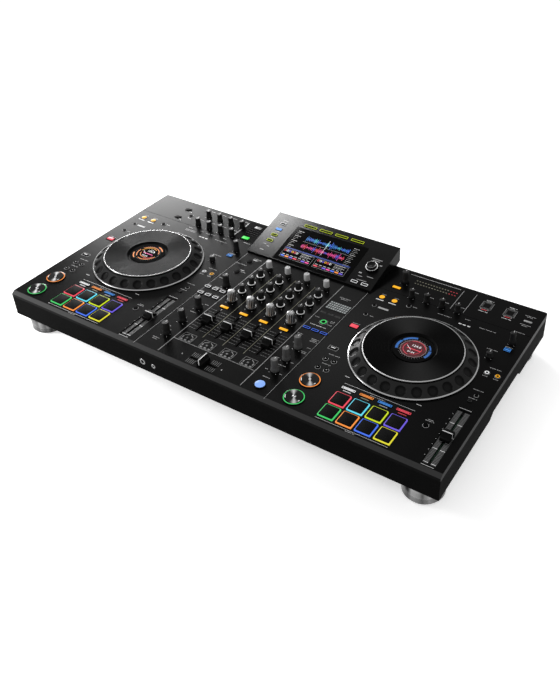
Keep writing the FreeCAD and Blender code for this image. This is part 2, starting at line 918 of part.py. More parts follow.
def slope_block(name, x, along, lift, length, width, height):
    box = doc.addObject("Part::Box", name)
    bind(box, "Length", length)
    bind(box, "Width", width)
    bind(box, "Height", height)
    return on_slope(box, x - length * 0.5, along - width * 0.5, lift)


glass_width = (housing_half_width - s.glass_side_margin) * 2
glass_from_lip = s.glass_from_lip + s.glass_length * 0.5
glass_seat = s.glass_proud - s.glass_thickness
dial_x = housing_half_width - s.dial_from_housing_side
recess = slope_block("glass_recess", s.glass_shift, glass_from_lip, glass_seat,
                     glass_width + s.glass_gap * 2, s.glass_length + s.glass_gap * 2, s.glass_thickness + 1)
dial_hole = doc.addObject("Part::Cylinder", "dial_hole")
bind(dial_hole, "Radius", s.stem_radius + s.stem_clearance)
bind(dial_hole, "Height", s.housing_roof * 2)
on_slope(dial_hole, dial_x, s.dial_from_lip, s.housing_roof * -1.5)
keep(cut("housing_cut", shell, [recess, dial_hole]), "screen_housing")
keep(slope_block("glass_plate", s.glass_shift, glass_from_lip, glass_seat, glass_width, s.glass_length,
                 s.glass_thickness), "screen_glass")

ceiling = s.housing_roof * run / slant * -1
dial_profile = [
    (middle, ceiling + s.control_gap),
    (s.stem_radius, ceiling + s.control_gap),
    (s.stem_radius, s.knob_gap),
    (s.dial_radius, s.knob_gap),
    (s.dial_radius, s.dial_height * 0.55),
    (s.dial_cap_radius, s.dial_height),
    (middle, s.dial_height),
]
dial = turned("browse_dial", dial_profile, middle, middle, middle)
keep(on_slope(dial, dial_x, s.dial_from_lip, middle), "browse_dial")
dial_control_height = s.control_height * 0.7
dial_control = slope_block("dial_control", dial_x, s.dial_from_lip, ceiling - dial_control_height,
                           s.control_width + 2, s.control_width + 2, dial_control_height)


# Small keys: seated on the panel or on the slope of the screen housing

keys = []


def key(name, x, from_front, length, width):
    keys.append(block(name, x, front_y + from_front, panel_top, plain(length), plain(width), s.key_height))


def round_key(name, x, from_front, radius):
    keys.append(rod(name, x, front_y + from_front, panel_top, plain(radius), s.key_height))


def slope_key(name, x, along, length, width):
    keys.append(slope_block(name, x, along, middle, plain(length), plain(width), s.key_height))


right_key_from_axis = s.jog_foot_radius + s.right_key_from_jog
for side, deck_x in DECKS:
    left_x = deck_x - s.jog_foot_radius - s.left_key_from_jog
    right_x = deck_x + right_key_from_axis
    loop_from_front = jog_from_front + s.loop_key_behind_jog
    round_key(f"loop_in_key_{side}", left_x, loop_from_front, 5.6)
    round_key(f"loop_out_key_{side}", left_x + s.loop_key_pitch, loop_from_front, 5.6)
    round_key(f"jog_mode_key_{side}", left_x, jog_from_front + s.mode_button_behind_jog, 3.2)
    round_key(f"deck_key_{side}", left_x, jog_from_front + s.deck_button_behind_jog, 3.2)
    key(f"quantize_key_{side}", left_x, jog_from_front + s.quantize_behind_jog, 15, 9)
    key(f"shift_key_{side}", left_x, jog_from_front - s.shift_before_jog, 11, 6)
    search_x = deck_x - s.jog_foot_radius - s.search_from_jog
    for column in (-0.5, 0.5):
        for line in (-0.5, 0.5):
            round_key(f"search_key_{side}", search_x + s.search_pitch_x * column,
                      jog_from_front - s.search_before_jog + s.search_pitch_y * line, 4.2)
    for column in range(4):
        key(f"mode_key_{side}", deck_x - s.pads_shift + pad_pitch_x * (column - 1.5),
            s.mode_key_from_front, 24.5, 5.2)
    key(f"slip_key_{side}", right_x, jog_from_front + s.slip_behind_jog, 12, 9)
    for column in (-0.5, 0.5):
        round_key(f"sync_key_{side}", right_x + 2 + s.sync_pitch * column,
                  jog_from_front + s.sync_behind_jog, 4.2)
    round_key(f"range_key_{side}", right_x, jog_from_front - s.range_before_jog, 3.2)
    key(f"lock_key_{side}", right_x - s.lock_in_from_range, jog_from_front - s.lock_before_jog, 7, 5)
    round_key(f"cue_mark_key_{side}", deck_x - s.cue_mark_key_from_axis, loop_from_front, 4)
    round_key(f"reset_key_{side}", deck_x + tempo_from_axis - s.reset_from_tempo, s.reset_from_front, 4.4)

for number, x in CHANNELS:
    key(f"cue_key_{number}", x, cue_key_from_front, 17, 6)
    key(f"assign_switch_{number}", x, s.assign_from_front, 8, 4)
for column in (-1, 0, 1):
    for line in (-0.5, 0.5):
        key("colour_key", s.colour_key_in_mixer - s.mixer_half_width + s.colour_key_pitch_x * column,
            s.colour_key_from_front + s.colour_key_pitch_y * line, 12, 6.5)
    key("beat_key", effect_x + s.colour_key_pitch_x * column, s.beat_key_from_front, 14, 6)
round_key("tap_key", effect_x, s.tap_key_from_front, 7)
key("booth_key", s.mixer_half_width + s.booth_key_from_mixer, body_depth - s.booth_key_from_back, 16, 6.5)
key("input_key", (s.mixer_half_width + s.input_key_from_mixer) * -1, body_depth - s.input_key_from_back,
    16, 9)
key("aux_key", (s.mixer_half_width + s.input_key_from_mixer) * -1, body_depth - s.aux_key_from_back, 16, 8)
key("menu_key", half_width - s.menu_key_from_side, body_depth - s.menu_key_from_back, 15, 4)
round_key("pair_key", s.source_key_from_side + s.pair_key_from_source - half_width,
          body_depth - s.source_key_from_back, 4)
for line in (-0.5, 0.5):
    key("source_key", s.source_key_from_side - half_width,
        body_depth - s.source_key_from_back + s.source_key_pitch * line, 14, 9)
for place_in_row in (0, 1):
    round_key("select_key", s.colour_key_in_mixer - s.mixer_half_width,
              s.select_key_from_front + s.select_key_pitch * place_in_row, 6)
view_key_from_lip = s.glass_from_lip + s.glass_length + s.view_key_behind_glass
for place_in_row in (-1.5, -0.5, 0.5, 1.5):
    slope_key("view_key", s.view_key_pitch * place_in_row, view_key_from_lip, 29, 6.5)
for place_in_row in range(4):
    slope_key("page_key", s.page_key_from_housing_side - housing_half_width,
              s.page_key_from_lip + s.page_key_pitch * place_in_row, 14, 6.5)
for place_in_row in (-0.5, 0.5):
    slope_key("back_key", housing_half_width - s.back_key_from_housing_side + s.back_key_pitch * place_in_row,
              s.back_key_from_lip, 14, 6.5)
keep(group("keys", keys), "key_caps")


# Small knobs of the back strip and the decks, seated on the panel

small_knobs = []


def small_knob(name, x, from_front, height):
    radius = s.strip_knob_radius
    profile = [
        (middle, middle),
        (radius, middle),
        (radius, height * 0.32),
        (radius - 1.2, height * 0.36),
        (radius - 1.6, height),
        (middle, height),
    ]
    small_knobs.append(turned(name, profile, x, front_y + from_front, panel_top))


input_knob_x = s.mixer_half_width + s.input_knob_from_mixer
output_knob_x = s.mixer_half_width + s.output_knob_from_mixer
for column in range(4):
    for line in (-0.5, 0.5):
        small_knob("input_knob", s.input_knob_pitch_x * (column - 1.5) - input_knob_x,
                   body_depth - s.input_knob_from_back + s.input_knob_pitch_y * line, s.strip_knob_height)
    small_knob("output_knob", output_knob_x + s.output_knob_pitch * (column - 1.5),
               body_depth - s.output_knob_from_back, s.strip_knob_height)
jog_feel_from_front = jog_from_front + s.jog_feel_behind_jog
speed_dial_from_front = jog_from_front + s.speed_dial_behind_jog
for side, deck_x in DECKS:
    small_knob(f"jog_feel_knob_{side}", deck_x + right_key_from_axis, jog_feel_from_front,
               s.strip_knob_height * 1.4)
    small_knob(f"speed_dial_{side}", deck_x + s.speed_dial_from_axis, speed_dial_from_front,
               s.strip_knob_height * 0.6)
keep(group("small_knobs", small_knobs), "strip_knobs")


# Sockets: two for headphones in the front wall, two for memory sticks in the top panel

front_set = []
phones_z = panel_top - s.phones_drop
for name, x, bore_radius, size, depth in (
    ("phones_socket", s.phones_x * -1, s.phones_bore_radius, plain(14), plain(18)),
    ("mini_socket", s.mini_x * -1, s.mini_bore_radius, plain(9.5), plain(14)),
):
    collar = bore_radius + s.phones_collar
    nose = rod_along_y(name + "_nose", x, front_y, phones_z, collar, s.case_wall + 1)
    case_y = front_y + s.case_wall + depth * 0.5
    rear_part = block(name + "_case", x, case_y, phones_z - size * 0.5, size, depth, size)
    bore_hole = rod_along_y(name + "_bore", x, front_y - 2, phones_z, bore_radius, s.case_wall + depth)
    front_set.append(cut(name, union(name + "_solid", [nose, rear_part]), [bore_hole]))
    case_cuts.append(rod_along_y(name + "_hole", x, front_y - 2, phones_z, collar + s.socket_gap,
                                 s.case_wall + 4))
for place_in_row in (-0.5, 0.5):
    x = half_width - s.memory_from_side + s.memory_pitch * place_in_row
    y = back_y - s.memory_from_back
    length = s.memory_slot_width + s.memory_wall * 2
    width = s.memory_slot_length + s.memory_wall * 2
    sleeve = block("memory_sleeve", x, y, board_top, length, width, panel_top - board_top)
    mouth_floor = board_top + 3
    mouth = block("memory_mouth", x, y, mouth_floor, s.memory_slot_width, s.memory_slot_length,
                  panel_top - mouth_floor + 1)
    front_set.append(cut("memory_socket", sleeve, [mouth]))
    panel_slot("memory_socket", x, y, length + s.socket_gap * 2, width + s.socket_gap * 2)
keep(group("front_sockets", front_set), "panel_sockets")


# Sockets in the rear wall

rear_set = []
socket_z = case_bottom + s.rear_socket_height


def rear_box(name, x, length, height, mouth_length, mouth_height, depth):
    """A square socket in a frame, open to the back."""
    y = back_y + 1 - depth * 0.5
    frame = block(name + "_frame", x, y, socket_z - height * 0.5, length, depth, height)
    mouth = block(name + "_mouth", x, y + 3, socket_z - mouth_height * 0.5, mouth_length, depth, mouth_height)
    opening = height + s.socket_gap * 2
    case_cuts.append(block(name + "_hole", x, back_y, socket_z - opening * 0.5, length + s.socket_gap * 2,
                           s.case_wall * 3, opening))
    return cut(name, frame, [mouth])


def rear_round(name, x, z, radius, bore_radius, proud, depth):
    """A round socket with its bore open to the back."""
    barrel = rod_along_y(name + "_barrel", x, back_y - depth, z, radius, depth + proud)
    bore_hole = rod_along_y(name + "_bore", x, back_y + 3 - depth, z, bore_radius, depth + proud)
    rear_set.append(cut(name, barrel, [bore_hole]))
    case_cuts.append(rod_along_y(name + "_hole", x, back_y - s.case_wall - 2, z, radius + s.socket_gap,
                                 s.case_wall + 4))


rear_set.append(rear_box("mains_inlet", s.mains_from_side - half_width, s.mains_width, s.mains_height,
                         s.mains_width * 0.8, s.mains_height - 7, s.mains_depth))
rear_set.append(rear_box("computer_socket", half_width - s.computer_from_side, s.computer_width,
                         s.computer_height, s.computer_width - 7, s.computer_height - 7, s.computer_depth))
rear_set.append(rear_box("network_socket", half_width - s.network_from_side, s.network_width,
                         s.network_height, s.network_width - 6.5, s.network_height - 7, s.network_depth))
main_out_x = s.main_out_from_side - half_width
booth_out_x = main_out_x + s.booth_out_from_main
voice_in_x = half_width - s.voice_in_from_side
for end in (-0.5, 0.5):
    rear_round("main_out", main_out_x + s.main_out_pitch * end, socket_z, s.balanced_radius,
               s.balanced_bore_radius, s.balanced_proud, s.rear_socket_depth)
for group_x, pitch in ((booth_out_x, s.booth_out_pitch), (voice_in_x, s.voice_in_pitch)):
    for end in (-0.5, 0.5):
        rear_round("jack_socket", group_x + pitch * end, socket_z, s.jack_radius, s.phones_bore_radius,
                   s.jack_proud, s.rear_socket_depth)
for column in (-2, -1, 0, 1, 2):
    for end in (-0.5, 0.5):
        rear_round("line_socket", s.line_pitch_x * column, socket_z + s.line_pitch_z * end, s.line_radius,
                   s.line_bore_radius, s.line_proud, s.line_depth)


# Power switch: a rocker on a pin across its frame, beside the mains inlet

switch_x = s.switch_from_side - half_width
pin_y = back_y - s.switch_pin_drop
switch_frame = rear_box("switch_frame", switch_x, s.switch_width + s.switch_frame_wall * 2,
                        s.switch_height + s.switch_frame_wall * 2, s.switch_width, s.switch_height,
                        s.switch_depth)
pin = rod("switch_pin", switch_x, pin_y, socket_z - s.switch_height * 0.5 - 1, s.switch_pin_radius,
          s.switch_height + 2)
rear_set.append(union("switch_mount", [switch_frame, pin]))
keep(group("rear_set", rear_set), "rear_sockets")

rocker_body = new_body("rocker_body")
rocker_half = s.switch_width * 0.5 - 1
rocker_side = [
    (rocker_half * -1, plain(-0.5)),
    (middle, plain(-4)),
    (rocker_half, plain(-0.5)),
    (rocker_half, plain(3.6)),
    (middle, plain(2.4)),
    (rocker_half * -1, plain(3.6)),
]
pad(rocker_body, "rocker_pad", outline(rocker_body, "rocker_side", "XY_Plane", [rocker_side]),
    s.switch_height - s.turning_gap * 2, midplane=True)
rocker_body.Placement = Placement(Vector(), Rotation(Vector(0, 0, 1), s.switch_tilt.value))
bind(rocker_body, "Placement.Rotation.Angle", s.switch_tilt)
place(rocker_body, switch_x, pin_y, socket_z)
pin_hole = rod("rocker_pin_hole", switch_x, pin_y, socket_z - s.switch_height * 0.5 - 1,
               s.switch_pin_radius + s.turning_gap, s.switch_height + 2)
keep(cut("rocker", rocker_body, [pin_hole]), "power_switch")


# Boards hang under the panel on pillars, and the power supply stands on the floor of the case

pillars = []


def board(name, left, right, front, back, controls):
    """A board between those distances from the middle and from the front edge of the case."""
    x = (left + right) * 0.5
    y = front_y + (front + back) * 0.5
    plate = block(name + "_plate", x, y, board_top - s.board_thickness, right - left, back - front,
                  s.board_thickness)
    for pillar_x in (left + s.pillar_inset, right - s.pillar_inset):
        for pillar_y in (front_y + front + s.pillar_inset, front_y + back - s.pillar_inset):
            pillars.append(rod(name + "_pillar", pillar_x, pillar_y, board_top, s.pillar_radius,
                               panel_under - board_top + 1))
    return union(name, [plate] + controls)


mixer_edge = s.mixer_half_width - s.mixer_board_side_inset
deck_edge = tempo_from_axis + s.deck_board_side_margin
deck_board_back = s.tempo_from_front + s.tempo_well_length * 0.5 + s.deck_board_back_margin
strip_back = body_depth - s.strip_board_from_back
boards = [
    board("mixer_board", mixer_edge * -1, mixer_edge, s.mixer_board_front_inset,
          housing_from_front - s.mixer_board_back_inset, mixer_controls),
    board("strip_board", s.mixer_half_width + s.strip_board_from_mixer, half_width - s.strip_board_from_side,
          strip_back - s.strip_board_length, strip_back, strip_controls),
]
for side, deck_x in DECKS:
    boards.append(board(f"deck_board_{side}", deck_x - deck_edge, deck_x + deck_edge,
                        s.deck_board_front_inset, deck_board_back, deck_controls[side]))
supply = block("power_supply", s.supply_from_side - half_width, back_y - s.supply_from_back,
               case_bottom + s.case_floor, s.supply_width, s.supply_length, s.supply_height)
keep(group("electronics", boards + [dial_control, supply]), "circuit_boards")


# Top panel: a plate with a skirt, a bright bevel along the front and seams between its fields

panel = new_body("panel_body")
panel_side = [
    (front_y, seam_z),
    (back_y, seam_z),
    (back_y, panel_top),
    (front_y + s.bevel_depth, panel_top),
    (front_y, panel_top - s.bevel_drop),
]
plate = pad(panel, "panel_plate", outline(panel, "panel_side", "YZ_Plane", [panel_side]), half_width * 2,
            midplane=True)


def round_back_corners(body, name, base):
    """Rounds the two upright edges at the back."""
    doc.recompute()
    rounding = body.newObject("PartDesign::Fillet", name)
    numbers = [number for number in upright_edges(base.Shape, s.skirt_height.value * 0.9)
               if base.Shape.Edges[number - 1].CenterOfMass.y > 0]
    rounding.Base = (base, [f"Edge{number}" for number in numbers])
    bind(rounding, "Radius", s.corner_radius)
    return rounding


round_back_corners(panel, "panel_corners", plate)
inner_back = back_y - s.case_wall
inner_front = front_y + s.front_margin
inner_width = (half_width - s.case_wall) * 2
hollow = rectangle(middle, (inner_front + inner_back) * 0.5, inner_width, inner_back - inner_front)
pocket(panel, "panel_hollow", outline(panel, "panel_inside", "XY_Plane", [hollow], seam_z),
       s.skirt_height - s.panel_thickness, reverse=True)
pocket(panel, "tempo_recesses", outline(panel, "tempo_outlines", "XY_Plane", tempo_wells, panel_top),
       s.tempo_well_depth)
seam_front = front_y + s.bevel_depth
seam_back = lip_y - 1
strip_y = front_y + strip_from_front
strip_length = half_width - housing_half_width
seams = []
for across in (-1, 1):
    seams.append(rectangle(s.mixer_half_width * across, (seam_front + seam_back) * 0.5, s.seam_width,
                           seam_back - seam_front))
    seams.append(rectangle((housing_half_width + strip_length * 0.5) * across, strip_y, strip_length - 1,
                           s.seam_width))
pocket(panel, "panel_seams", outline(panel, "seam_outlines", "XY_Plane", seams, panel_top), s.seam_drop)
keep(union("panel_with_pillars", [cut("panel_cut", panel, panel_cuts)] + pillars), "top_panel")


# Lower case: a tray with a flange along the top of its rear wall and side walls raised over a hand grip

case = new_body("case_body")
case_height = s.side_height - s.skirt_height
case_middle_y = (front_y + back_y) * 0.5
footprint = rectangle(middle, case_middle_y, half_width * 2, body_depth)
case_block = pad(case, "case_block", outline(case, "case_footprint", "XY_Plane", [footprint], case_bottom),
                 case_height)
round_back_corners(case, "case_corners", case_block)
tray = rectangle(middle, case_middle_y, inner_width, body_depth - s.case_wall * 2)
pocket(case, "case_hollow", outline(case, "case_inside", "XY_Plane", [tray], seam_z),
       case_height - s.case_floor)
flange_depth = s.flange_depth + 1
flange = rectangle(middle, inner_back + 1 - flange_depth * 0.5, inner_width + 2, flange_depth)
pad(case, "rear_flange", outline(case, "flange_outline", "XY_Plane", [flange], seam_z - s.case_wall),
    s.case_wall)
grip_middle_y = front_y + s.grip_from_front + s.grip_length * 0.5
grip_box_width = s.grip_reach + s.case_wall
grip_boxes = [rectangle((half_width - grip_box_width * 0.5) * across, grip_middle_y, grip_box_width,
                        s.grip_length + s.case_wall * 2) for across in (-1, 1)]
pad(case, "grip_boxes", outline(case, "grip_outlines", "XY_Plane", grip_boxes, case_bottom),
    s.grip_rise + s.case_wall)
grip_start = front_y + s.grip_from_front
grip_end = grip_start + s.grip_length
grip_side = [
    (grip_start, case_bottom),
    (grip_end, case_bottom),
    (grip_end - s.grip_slope, case_bottom + s.grip_rise),
    (grip_start + s.grip_slope, case_bottom + s.grip_rise),
]
grip = pocket(case, "hand_grip", outline(case, "grip_side", "YZ_Plane", [grip_side], half_width),
              s.grip_reach)
grips = case.newObject("PartDesign::Mirrored", "hand_grips")
grips.Originals = [grip]
grips.MirrorPlane = (origin_part(case, "YZ_Plane"), [""])
case.Tip = grips
keep(cut("case_cut", case, case_cuts), "lower_case")


# Feet: a broad drum on a soft sole, necked where it meets the case

neck_radius = s.foot_radius - s.foot_neck_step
foot_profile = [
    (middle, middle),
    (s.foot_radius - 3, middle),
    (s.foot_radius - 2, s.foot_sole_height),
    (s.foot_radius, s.foot_sole_height),
    (s.foot_radius, s.foot_height - s.foot_neck_height - 1.5),
    (s.foot_radius - 1.5, s.foot_height - s.foot_neck_height),
    (neck_radius, s.foot_height - s.foot_neck_height),
    (neck_radius, s.foot_height),
    (middle, s.foot_height),
]
foot_x = half_width - s.foot_radius - s.foot_side_inset
foot_from_end = s.foot_radius + s.foot_end_inset
feet = []
for across in (-1, 1):
    for y in (front_y + foot_from_end, back_y - foot_from_end):
        feet.append(turned("foot", foot_profile, foot_x * across, y, middle))
keep(group("foot_set", feet), "feet")


# Every object is checked before any shape is written

doc.recompute()
for thing in doc.Objects:
    if "Invalid" in thing.State or "Error" in thing.State:
        raise RuntimeError(f"{thing.Name} ({thing.TypeId}) failed: {thing.State}")
for thing in finished:
    if thing.Shape.isNull() or not thing.Shape.isValid() or not thing.Shape.Solids:
        raise RuntimeError(f"{thing.Label} has no valid shape")
os.makedirs("parts", exist_ok=True)
for thing in finished:
    thing.Shape.exportStep(f"parts/{thing.Label}.step")
print(len(finished), "sub-parts with", sum(len(thing.Shape.Solids) for thing in finished), "solids")
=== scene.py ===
import math

import bmesh
import bpy
from mathutils import Matrix, Quaternion, Vector


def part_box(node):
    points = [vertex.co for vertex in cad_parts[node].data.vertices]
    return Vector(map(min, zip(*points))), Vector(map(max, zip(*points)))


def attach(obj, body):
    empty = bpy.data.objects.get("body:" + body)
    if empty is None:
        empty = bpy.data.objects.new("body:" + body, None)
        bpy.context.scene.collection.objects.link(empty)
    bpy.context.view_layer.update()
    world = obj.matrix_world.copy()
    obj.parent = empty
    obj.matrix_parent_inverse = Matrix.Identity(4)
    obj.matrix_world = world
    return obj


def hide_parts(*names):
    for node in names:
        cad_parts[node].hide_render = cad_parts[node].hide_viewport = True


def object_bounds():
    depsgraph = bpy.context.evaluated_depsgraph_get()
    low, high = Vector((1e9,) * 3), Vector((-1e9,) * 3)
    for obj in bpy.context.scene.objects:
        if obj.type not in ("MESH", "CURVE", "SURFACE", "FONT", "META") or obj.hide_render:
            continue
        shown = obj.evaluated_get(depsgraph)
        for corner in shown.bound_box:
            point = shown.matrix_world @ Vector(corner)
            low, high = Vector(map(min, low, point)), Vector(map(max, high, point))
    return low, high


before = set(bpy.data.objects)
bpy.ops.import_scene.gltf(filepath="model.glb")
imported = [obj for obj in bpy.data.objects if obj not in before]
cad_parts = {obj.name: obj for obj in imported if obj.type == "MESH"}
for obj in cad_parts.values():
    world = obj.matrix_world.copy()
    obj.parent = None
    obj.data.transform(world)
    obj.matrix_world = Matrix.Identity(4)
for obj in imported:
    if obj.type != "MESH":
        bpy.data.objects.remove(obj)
cad_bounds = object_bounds()

# Lengths are millimetres until a piece is finished. X runs to the right and Y to the back, both from
# the middle of the console, and a height on the deck is measured from the top of the panel.
MM = 0.001
TURN = 2 * math.pi
SIDES = ("left", "right")


def box_mm(node):
    low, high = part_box(node)
    return low / MM, high / MM


def centre_mm(node):
    low, high = box_mm(node)
    return (low + high) / 2


def radius_mm(node):
    low, high = box_mm(node)
    return (high.x - low.x) / 2


FRONT = cad_bounds[0].y / MM
PANEL = box_mm("top_panel")[1].z
PANEL_BACK = box_mm("top_panel")[1].y
PANEL_LENGTH = PANEL_BACK - FRONT
HALF_WIDTH = box_mm("top_panel")[1].x
JOGS = {side: centre_mm(f"jog_rim_{side}") for side in SIDES}
JOG_RADIUS = radius_mm("jog_rim_right")
DISPLAY_RADIUS = box_mm("jog_displays")[1].x - JOGS["right"].x
DISPLAY_TOP = box_mm("jog_displays")[1].z - PANEL
CHANNELS = [centre_mm(f"channel_fader_{channel}").x for channel in (1, 2, 3, 4)]
# Half the width between the seams at both sides of the mixer
MIXER_HALF = 137.5
# The height of printed lines over the panel
INK = 0.08


def top_of(node):
    return box_mm(node)[1].z - PANEL


def from_front_of(node):
    return centre_mm(node).y - FRONT


def at(x, y, z):
    return Matrix.Translation((x, y, z))


def standing(node):
    """The place on the panel under the middle of a node."""
    centre = centre_mm(node)
    return at(centre.x, centre.y, PANEL)


def raised(place, rise):
    return place @ at(0, 0, rise)


def on_deck(x, from_front, height=0.0, angle=0.0):
    """The place of a part on the deck, turned by an angle in degrees about the vertical."""
    return at(x, FRONT + from_front, PANEL + height) @ Matrix.Rotation(math.radians(angle), 4, "Z")


# The slope of the screen housing, from its lip up to its top edge
HOUSING_LOW, HOUSING_HIGH = box_mm("screen_housing")
HOUSING_LIP = 4.0
SLOPE = math.atan2(HOUSING_HIGH.z - PANEL - HOUSING_LIP, HOUSING_HIGH.y - HOUSING_LOW.y)


def on_slope(x, along, lift=0.0):
    """The place of a part on the slope: along runs up from the lip, lift stands square to it."""
    lip = at(0, HOUSING_LOW.y, PANEL + HOUSING_LIP) @ Matrix.Rotation(SLOPE, 4, "X")
    return lip @ at(x, along, lift)


# Shader maths and materials

def tone(red, green, blue):
    """A colour as a screen shows it, from 0 to 255, as linear light."""
    parts = []
    for value in (red, green, blue):
        share = value / 255
        parts.append(share / 12.92 if share <= 0.04045 else ((share + 0.055) / 1.055) ** 2.4)
    return (*parts, 1.0)


def grey(value):
    return tone(value, value, value)


def lighter(colour, share):
    """A colour moved towards white by a share."""
    return tuple(part + (1 - part) * share for part in colour[:3]) + (1.0,)


def brighter(colour, factor):
    return tuple(min(1.0, part * factor) for part in colour[:3]) + (1.0,)


class Value:
    """A socket that takes part in arithmetic. Each operation adds a Math node."""

    def __init__(self, tree, socket):
        self.tree = tree
        self.socket = socket

    def math(self, operation, *others):
        return self.tree.node("ShaderNodeMath", {"operation": operation}, [self, *others])

    def __add__(self, other):
        return self.math("ADD", other)

    __radd__ = __add__

    def __sub__(self, other):
        return self.math("SUBTRACT", other)

    def __rsub__(self, other):
        return self.math("MULTIPLY", -1.0).math("ADD", other)

    def __mul__(self, other):
        return self.math("MULTIPLY", other)

    __rmul__ = __mul__


class Tree:
    """The nodes of a material or of the world."""

    def __init__(self, tree):
        self.nodes = tree.nodes
        self.links = tree.links

    def node(self, kind, settings=None, inputs=None, output=0):
        """A node with its settings, then the values or links of its sockets, by name or in order."""
        made = self.nodes.new(kind)
        for setting, value in (settings or {}).items():
            setattr(made, setting, value)
        pairs = inputs.items() if isinstance(inputs, dict) else enumerate(inputs or [])
        for socket, value in pairs:
            self.feed(made.inputs[socket], value)
        return Value(self, made.outputs[output])

    def feed(self, socket, value):
        if isinstance(value, Value):
            self.links.new(value.socket, socket)
        else:
            socket.default_value = value

    def rays(self):
        """Values that are 1 for what the camera sees, sees in a reflection or sees through."""
        outputs = self.node("ShaderNodeLightPath").socket.node.outputs
        return [Value(self, outputs[f"Is {kind} Ray"]) for kind in ("Camera", "Glossy", "Transmission")]


class Finish(Tree):
    """A material with one Principled shader. Constants are set on the shader's own sockets."""

    def __init__(self, name, **constants):
        self.material = bpy.data.materials.new(name)
        self.material.use_nodes = True
        super().__init__(self.material.node_tree)
        self.shader = self.nodes["Principled BSDF"]
        for socket, value in constants.items():
            self.shader.inputs[socket.replace("_", " ")].default_value = value

    def shade(self, socket, value):
        self.feed(self.shader.inputs[socket], value)

    def place(self):
        return self.node("ShaderNodeTexCoord", output="Object")

    def noise(self, scale, detail=2.0, where=None):
        return self.node("ShaderNodeTexNoise", {}, {
            "Vector": where or self.place(), "Scale": scale, "Detail": detail}, "Fac")

    def blend(self, share, first, second):
        """A colour between two others."""
        return self.node("ShaderNodeMix", {"data_type": "RGBA"}, {
            "Factor": share, "A": first, "B": second}, "Result")

    def vector(self, operation, first, second=(0, 0, 0), output="Vector"):
        return self.node("ShaderNodeVectorMath", {"operation": operation}, [first, second], output)

    def bump(self, height, strength, distance):
        self.shade("Normal", self.node("ShaderNodeBump", {}, {
            "Strength": strength, "Distance": distance, "Height": height}, "Normal"))


CLOUD_SCALE = 45.0
GRAIN_DISTANCE = 0.0002
GLOW_CLOUD_SCALE = 260.0
STREAK_SCALE = 48.0
FLAT = (1, 1, 0)


def surface(name, colour, roughness, level=0.3, grain=1500, depth=0.15, mottle=0.02, metal=0.0,
            uneven=0.12):
    """A plastic, rubber, paint or metal: uneven tone, uneven gloss and a fine grain."""
    finish = Finish(name, Metallic=metal, Specular_IOR_Level=level)
    cloud = finish.noise(CLOUD_SCALE, 3.0)
    finish.shade("Base Color", finish.blend(cloud, colour, lighter(colour, mottle)))
    finish.shade("Roughness", cloud * uneven + (roughness - uneven / 2))
    finish.bump(finish.noise(grain, 2.0), depth, GRAIN_DISTANCE)
    return finish.material


def lit(name, colour):
    """A lit cap or light guide: a dark tint of the colour that glows a little unevenly."""
    finish = Finish(name, Roughness=0.35, Specular_IOR_Level=0.04, Emission_Strength=1.0)
    tint = brighter(colour, 0.12)
    cloud = finish.noise(GLOW_CLOUD_SCALE, 1.0)
    finish.shade("Base Color", finish.blend(cloud, tint, lighter(tint, 0.04)))
    finish.shade("Emission Color", finish.blend(cloud, colour, brighter(colour, 1.2)))
    return finish.material


def streaked(name, dark, light, roughness):
    """Turned bright metal, with upright streaks of painted reflection, dark and light, in its colour."""
    finish = Finish(name, Metallic=1.0, Roughness=roughness)
    painted_streak = finish.noise(STREAK_SCALE, 2.0, finish.vector("MULTIPLY", finish.place(), FLAT))
    finish.shade("Base Color", finish.blend((painted_streak - 0.36) * 3.6, dark, light))
    return finish.material


def turned_face(name, centre, dark, light, roughness, level, sharpness, direction):
    """A face turned on a lathe about a centre, with a painted reflection: two lighter fans that lie opposite
    each other, painted into its colour.
    """
    finish = Finish(name, Roughness=roughness, Specular_IOR_Level=level)
    away = finish.vector("SUBTRACT", finish.place(), (centre.x * MM, centre.y * MM, 0))
    unit = finish.vector("NORMALIZE", finish.vector("MULTIPLY", away, FLAT))
    along = (math.cos(direction), math.sin(direction), 0)
    # The painted reflection: lightest along one direction and its opposite
    painted_fan = finish.vector("DOT_PRODUCT", unit, along, "Value").math("ABSOLUTE").math("POWER", sharpness)
    finish.shade("Base Color", finish.blend(painted_fan, dark, light))
    return finish.material


CASE = surface("case_plastic", grey(12), 0.5, level=0.005, grain=1800, depth=0.2, mottle=0.002)
# The front bevel, lighter than the deck: partly the chamfer's finish, partly a painted highlight
BEVEL_AND_PAINTED_HIGHLIGHT = surface("panel_bevel", grey(48), 0.42, level=0.08, grain=1800, depth=0.05, mottle=0.003)
DECK = surface("deck_paint", grey(6), 0.28, level=0.021, grain=2600, depth=0.006, mottle=0.001,
               uneven=0.015)
HOUSING = surface("housing_paint", grey(7), 0.26, level=0.045, grain=2600, depth=0.006, mottle=0.002,
                  uneven=0.02)
GLOSS = surface("gloss_plastic", grey(7), 0.2, level=0.06, grain=400, depth=0.02, mottle=0.002)
GLASS = surface("screen_cover", grey(3), 0.08, level=0.02, grain=300, depth=0.01, mottle=0.001)
KEY_BLACK = surface("key_black", grey(6), 0.45, level=0.003, mottle=0.002)
CAP_BLACK = surface("fader_cap", grey(6), 0.38, level=0.02, mottle=0.003)
SOFT = surface("rubber", grey(11), 0.6, level=0.012, grain=2200, depth=0.3, mottle=0.004)
GRIP = surface("knob_rubber", grey(16), 0.42, level=0.1, grain=1800, depth=0.2, mottle=0.006)
GRIP_GREY = surface("grey_knob_rubber", grey(62), 0.45, level=0.2, grain=1800, depth=0.2)
PLATE_GREY = surface("slider_ridge", grey(86), 0.45, level=0.2, grain=1500, depth=0.12)
CAP_GREY = surface("light_grey_cap", grey(140), 0.42, level=0.4, grain=1500, depth=0.12)
